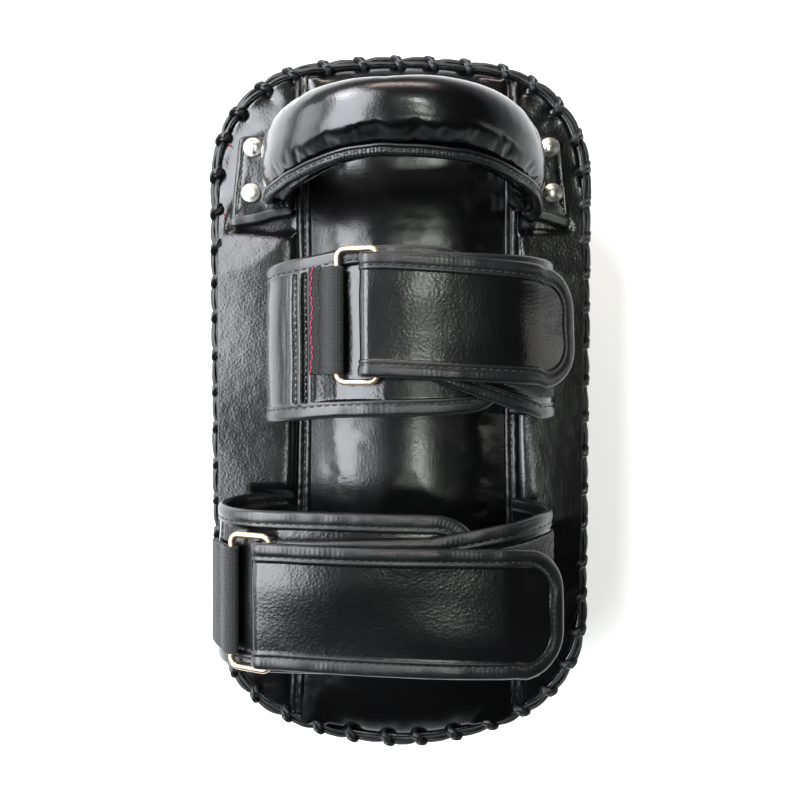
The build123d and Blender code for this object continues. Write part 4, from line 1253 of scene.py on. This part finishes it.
def handle_leather():
    """The stuffed arch, its skin blown up by simulated pressure and gathered at the seam."""
    t = np.radians(np.linspace(-2.0, 182.0, 170))
    out, inn = oval_line(t, OVAL_OUT), oval_line(t, OVAL_IN)
    centre, half = (out + inn) / 2, (out - inn) / 2
    thick = np.linalg.norm(half, axis=1)
    radial = half / thick[:, None]
    phi = np.linspace(0, 2 * math.pi, 48, endpoint=False)
    cr = np.sign(np.cos(phi)) * np.abs(np.cos(phi)) ** 0.82
    cy = np.sign(np.sin(phi)) * np.abs(np.sin(phi)) ** 0.82
    rows = []
    for i in range(len(t)):
        deep = 30.8 + 4.2 * max(0.0, math.sin(t[i])) ** 0.7
        y_low = HANDLE_LOW_Y + curve_value(math.degrees(t[i]), LOW_SIDE)
        y_top = HANDLE_LOW_Y + deep + curve_value(centre[i, 0], TOP_SIDE)
        r = (thick[i] - 0.5) * cr
        rows.append(np.column_stack([
            MID_X + centre[i, 0] + radial[i, 0] * r, (y_low + y_top) / 2 + (y_top - y_low) / 2 * cy,
            BASE + centre[i, 1] + radial[i, 1] * r]))
    points = handle_lean(np.stack(rows))
    obj = make("handle_leather", points, grid_faces(len(t), len(phi), False, True), smooth_leather, close=True)
    index = np.arange(len(t) * len(phi)).reshape(len(t), len(phi))
    sewn = obj.vertex_groups.new(name="sewn")
    seam_cols = np.where(np.abs(phi - 1.5 * math.pi) < 0.09)[0]
    held = np.unique(np.concatenate([index[:7].ravel(), index[-7:].ravel(), index[:, seam_cols].ravel()]))
    sewn.add(held.tolist(), 1.0, "REPLACE")
    simulate(obj, "sewn", 12, pressure=2.2, slack=-0.03, cap=1.6)
    co = vertex_values(obj).reshape(len(t), len(phi), 3)
    normals = vertex_values(obj, "normal").reshape(len(t), len(phi), 3)
    arc = lengths(centre)
    s = np.broadcast_to(arc[:, None], (len(t), len(phi)))
    from_seam = np.abs(phi - 1.5 * math.pi)[None] / math.pi
    gather = 0.16 * waves(s, from_seam * 16, 10, 9, 61) * np.exp(-from_seam * 5.5)
    broad = 0.4 * waves(s * 0.7, from_seam * 50, 34, 6, 62) + 0.02 * waves(s, from_seam * 60, 6, 9, 63)
    seam_dent = -1.0 * np.exp(-(from_seam / 0.045) ** 2)
    ends = smooth_step(np.minimum(arc, arc[-1] - arc), 2, 16)[:, None]
    co += normals * ((gather + broad) * (0.3 + 0.7 * ends) + seam_dent)[..., None] * MM
    obj.data.vertices.foreach_set("co", co.ravel())
    obj.data.update()
    subdivide(obj)
    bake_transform(obj)
    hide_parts("handle_cover", "handle_roots", "handle_core")

    # the bound seam along the lower side, a gathered roll with its stitches
    t = np.radians(np.linspace(0.5, 179.5, 340))
    oval = (72.6, 78.0)
    flat = oval_line(t, oval)
    low_part = 1 - np.sin(t)
    sway = curve_value(np.degrees(t), LOW_SIDE)
    path = np.column_stack([MID_X + flat[:, 0], 106.0 + 1.4 * low_part + sway, BASE + flat[:, 1]])
    arc = lengths(path)
    path[:, 1] += 0.12 * waves(arc, 0 * arc, 18, 6, 65)
    path = handle_lean(path)
    radial = np.column_stack([np.cos(t) / oval[0], 0 * t, np.sin(t) / oval[1]])
    radial /= np.linalg.norm(radial, axis=1)[:, None]
    path += radial * (0.15 * waves(arc, 0 * arc, 20, 6, 66))[:, None]
    dense = resample(np.column_stack([path, radial]), 0.34)
    path, radial = dense[:, :3], dense[:, 3:]
    radial /= np.linalg.norm(radial, axis=1)[:, None]
    arc = lengths(path)
    tuck = np.sin(arc * 2 * math.pi / 1.75 + 1.6 * waves(arc, 0 * arc, 15, 5, 69))
    tuck = tuck * (0.6 + 0.4 * waves(arc, 0 * arc, 24, 5, 70))
    wide = 2.25 + 0.08 * waves(arc, 0 * arc, 9, 7, 67) + 0.13 * tuck
    deep = 2.1 + 0.08 * waves(arc, 0 * arc, 9, 7, 68) + 0.10 * tuck
    pts, fcs = ribbon(path, same((0.0, 1.0, 0.0), len(path)), deep, wide, 16, 0.85)
    heap = Heap()
    heap.put(pts, fcs, (len(path), 16))
    line = (path + radial * 2.0 + np.array([0.0, 2.1, 0.0]))[::3]
    pts, fcs = ribbon(line, same((0.0, 1.0, 0.0), len(line)), 0.75, 0.65, 10, 1.0)
    heap.put(pts, fcs, (len(line), 10))
    roll = heap.made("handle_seam_roll", bind_leather)
    thread_heap = Heap()
    at = (np.arange(int(arc[-1] / 4.0)) + 0.5) * 4.0
    base = np.column_stack([np.interp(at, arc, path[:, k]) for k in range(3)])
    nrm = np.column_stack([np.interp(at, arc, radial[:, k]) for k in range(3)])
    for way in (1, -1):
        p = base + way * nrm * 2.3
        stitch_row(thread_heap, p, way * nrm, 2.7, 0.36, 0.1)
    seam = thread_heap.made("handle_seam_stitches", black_thread)
    for piece in (roll, seam):
        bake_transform(piece)
    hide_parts("handle_binding")


def rounded_corners(corners, radius, step=1.2):
    """A closed plan contour, anticlockwise, with arcs at its corners."""
    c = np.array(corners, float)
    out = []
    for i in range(len(c)):
        a, b, d = c[i - 1], c[i], c[(i + 1) % len(c)]
        u, v = (a - b) / np.linalg.norm(a - b), (d - b) / np.linalg.norm(d - b)
        p, q = b + u * radius, b + v * radius
        f = np.linspace(0, 1, 7)[:, None]
        out.append((1 - f) ** 2 * p + 2 * f * (1 - f) * b + f**2 * q)
    return resample(np.vstack(out), step, closed=True)


def handle_tab(side):
    """A riveted tab of the handle, with its turned lower edge."""
    node = "handle_tab_left" if side < 0 else "handle_tab_right"
    low, high = span(node)
    inner = high[0] if side < 0 else low[0]
    base = RIM_Z + 0.1
    y0, y1 = low[1] + 0.3, high[1]
    corners = [(inner, y0 + 7.5), (side * 93.8, y0), (side * 88.8, y1 - 0.5), (inner, y1)]
    if side < 0:
        corners = corners[::-1]
    ring = rounded_corners(corners, 4.0)
    ahead = np.roll(ring, -1, 0) - np.roll(ring, 1, 0)
    ahead /= np.linalg.norm(ahead, axis=1)[:, None]
    inward = np.column_stack([-ahead[:, 1], ahead[:, 0]])
    middle = ring.mean(0)
    if ((middle - ring) * inward).sum() < 0:
        inward = -inward
    along = lengths(ring)
    steps = [(0.4, 0.0), (0.1, 0.7), (0.0, 1.4), (0.15, 2.1), (0.6, 2.7), (1.3, 2.95), (2.2, 3.0), (2.9, 2.9),
             (3.4, 2.8), (3.9, 2.9), (4.6, 3.02), (6.0, 3.1)]
    rows = []
    for e, h in steps:
        p = ring + inward * e
        rows.append(np.column_stack([p, np.full(len(p), base + h)]))
    last = rows[-1][:, :2]
    for f in (0.15, 0.3, 0.45, 0.6, 0.75, 0.88, 1.0):
        p = last * (1 - f) + middle * f
        rows.append(np.column_stack([p, np.full(len(p), base + 3.1)]))
    points = np.stack(rows)
    x, y = points[..., 0], points[..., 1]
    bump = 0.2 * waves(x, y, 26, 6, 81 + side) + 0.03 * waves(x, y, 8, 8, 83 + side)
    for rx, ry in RIVETS:
        bump = bump - 0.6 * np.exp(-((np.hypot(x - rx, y - ry)) / 6.5) ** 2)
    points[..., 2] += bump * (np.arange(len(points)) > 3)[:, None]
    faces = grid_faces(len(points), len(ring), False, True)
    obj = make(node + "_leather", points, faces, panel_leather, weld=0.02, close=True)
    place(obj, "pad", [node])
    # the turned lower edge, a second thickness that stands off the pad
    x0, x1 = inner - side * 0.5, side * 93.4
    f = np.linspace(0, 1, 44)
    xs = x0 + (x1 - x0) * f
    slant = y0 + 7.5 * (1 - f)
    sway, lift = [0.2 * waves(xs, 0 * xs, size, 5, seed) for size, seed in ((15, 85), (11, 86))]
    path = np.column_stack([xs, slant + 2.0 + sway, 101.5 + lift])
    fat = np.sqrt(np.clip(1 - np.abs(np.linspace(-1, 1, 44)) ** 14, 0.05, 1))
    pts, fcs = ribbon(path, same((0.0, 1.0, 0.12), len(path)), 2.7 * fat, 1.5 * fat, 18, 0.55)
    heap = Heap()
    heap.put(pts, fcs, (44, 18))
    roll = subdivide(heap.made(node + "_turned_edge", bind_leather))
    place(roll, "pad")
    heap = Heap()
    line = resample(ring + inward * 3.4, 3.4, closed=True)
    keep = line[:, 1] > 97.0
    p = np.column_stack([line, np.full(len(line), base + 2.55)])[keep]
    stitch_row(heap, p, same((0.0, 0.0, 1.0), len(p)), 2.5, 0.42, 0.2)
    place(heap.made(node + "_stitches", black_thread), "pad")


RIVETS = ((-81.0, 139.0), (-82.0, 114.0), (81.5, 139.0), (83.5, 114.0))


def rivets():
    heap = Heap()
    profile = [
        (5.3, -0.25), (5.5, 0.1), (5.4, 0.45), (5.0, 0.72), (4.45, 0.95),
        (3.7, 1.3), (2.9, 1.75), (2.0, 2.08), (1.0, 2.24), (0.15, 2.28),
    ]
    for x, y in RIVETS:
        a = np.linspace(0, 2 * math.pi, 40, endpoint=False)
        lean = draw.uniform(-0.03, 0.03, 2)
        rows = []
        for r, z in profile:
            px, py = r * np.cos(a), r * np.sin(a)
            rows.append(np.column_stack([x + px, y + py, 101.1 + z + lean[0] * px + lean[1] * py]))
        heap.put(np.vstack(rows), grid_faces(len(profile), 40, False, True), (len(profile), 40))
    place(heap.made("rivet_caps", rivet_metal), "pad", ["handle_rivets"])


strap(MID)
strap(LOW)
handle_leather()
handle_tab(-1)
handle_tab(1)
rivets()

# ------------------------------------------------------------------ inner parts, rings
foam_stuff = fuzzy("grey_foam", (0.10, 0.10, 0.11), (0.2, 0.2, 0.21), 900, 0.0003)
board_stuff = fuzzy("pressed_board", (0.12, 0.08, 0.05), (0.22, 0.16, 0.1), 300, 0.0002)
for node, mat in (
    ("core_foam_hard", foam_stuff), ("core_foam_soft", foam_stuff), ("core_foam_back", foam_stuff),
    ("stiffener_board", board_stuff),
    ("rivet_burrs", rivet_metal), ("mid_ring", ring_metal), ("low_ring", ring_metal),
):
    obj = bpy.data.objects[node]
    obj.data.materials.clear()
    obj.data.materials.append(mat)

# ------------------------------------------------------------------ stage
floor_mat, floor_tree, floor_shader = new_material("pale_floor")
floor_coords = add(floor_tree, "ShaderNodeTexCoord").outputs["Object"]
paper = noise(floor_tree, floor_coords, 60, 4)
paper_colour = two_colours(floor_tree, paper, (0.93, 0.93, 0.93), (0.96, 0.96, 0.96))
floor_tree.links.new(paper_colour, floor_shader.inputs["Base Color"])
floor_shader.inputs["Roughness"].default_value = 0.95
floor_shader.inputs["Emission Color"].default_value = (1, 1, 1, 1)
floor_shader.inputs["Emission Strength"].default_value = 0.4
FAR = 4000
floor = make("floor", [(-FAR, -FAR, 0), (FAR, -FAR, 0), (FAR, FAR, 0), (-FAR, FAR, 0)], [(0, 1, 2, 3)], floor_mat)

world = bpy.data.worlds.new("studio")
scene.world = world
world.use_nodes = True
world.node_tree.nodes["Background"].inputs["Color"].default_value = (0.93, 0.97, 1.0, 1)
sky = world.node_tree
sky_z = add(sky, "ShaderNodeSeparateXYZ")
sky.links.new(add(sky, "ShaderNodeTexCoord").outputs["Generated"], sky_z.inputs["Vector"])
sky.links.new(ramp(sky, sky_z.outputs["Z"], 0.0, 0.32, 0.75, 0.025), sky.nodes["Background"].inputs["Strength"])


def soft_light(name, at, aim, size, power, colour):
    """A box light; size is its length along the floor and its other side."""
    data = bpy.data.lights.new(name, "AREA")
    data.shape = "RECTANGLE"
    data.size, data.size_y = size
    data.energy = power
    data.color = colour
    obj = bpy.data.objects.new(name, data)
    obj.location = at
    obj.rotation_euler = (Vector(aim) - Vector(at)).to_track_quat("-Z", "Y").to_euler()
    obj.visible_camera = False
    scene.collection.objects.link(obj)


soft_light("left_softbox", (-0.63, 0.26, 0.97), (-0.02, 0.26, 0.1), (1.38, 0.62), 37, (0.92, 0.95, 1.0))
soft_light("low_left_softbox", (-1.05, 0.20, 0.45), (-0.02, 0.20, 0.1), (1.20, 0.45), 10, (0.94, 0.96, 1.0))
soft_light("corner_softbox", (-0.72, 0.95, 0.80), (-0.05, 0.13, 0.15), (0.40, 0.40), 9, (0.95, 0.95, 1.0))
soft_light("window_low", (0.15, 0.17, 1.25), (0.0, 0.03, 0.1), (0.12, 0.11), 1.2, (0.93, 1.0, 0.90))
soft_light("window_high", (0.14, 0.44, 1.20), (0.0, 0.03, 0.1), (0.13, 0.11), 2.0, (0.94, 1.0, 0.92))
soft_light("window_near", (0.14, -0.17, 1.25), (0.0, 0.03, 0.1), (0.12, 0.10), 1.3, (0.94, 1.0, 0.92))
soft_light("right_softbox", (1.05, 0.05, 0.35), (0.0, 0.0, 0.1), (0.25, 0.9), 1.0, (1.0, 0.98, 0.94))
soft_light("top_softbox", (-0.05, 1.25, 0.85), (0.0, 0.05, 0.1), (0.8, 0.25), 7.0, (1.0, 0.86, 0.78))

camera_data = bpy.data.cameras.new("camera")
camera_data.lens, camera_data.sensor_width = 33.35, 36.0
camera_data.shift_y = -0.01875
camera_data.dof.use_dof = False
camera = bpy.data.objects.new("camera", camera_data)
camera.location = (-0.00028, 0.00857, 0.508)
scene.collection.objects.link(camera)
scene.camera = camera
scene.view_settings.view_transform = "Standard"
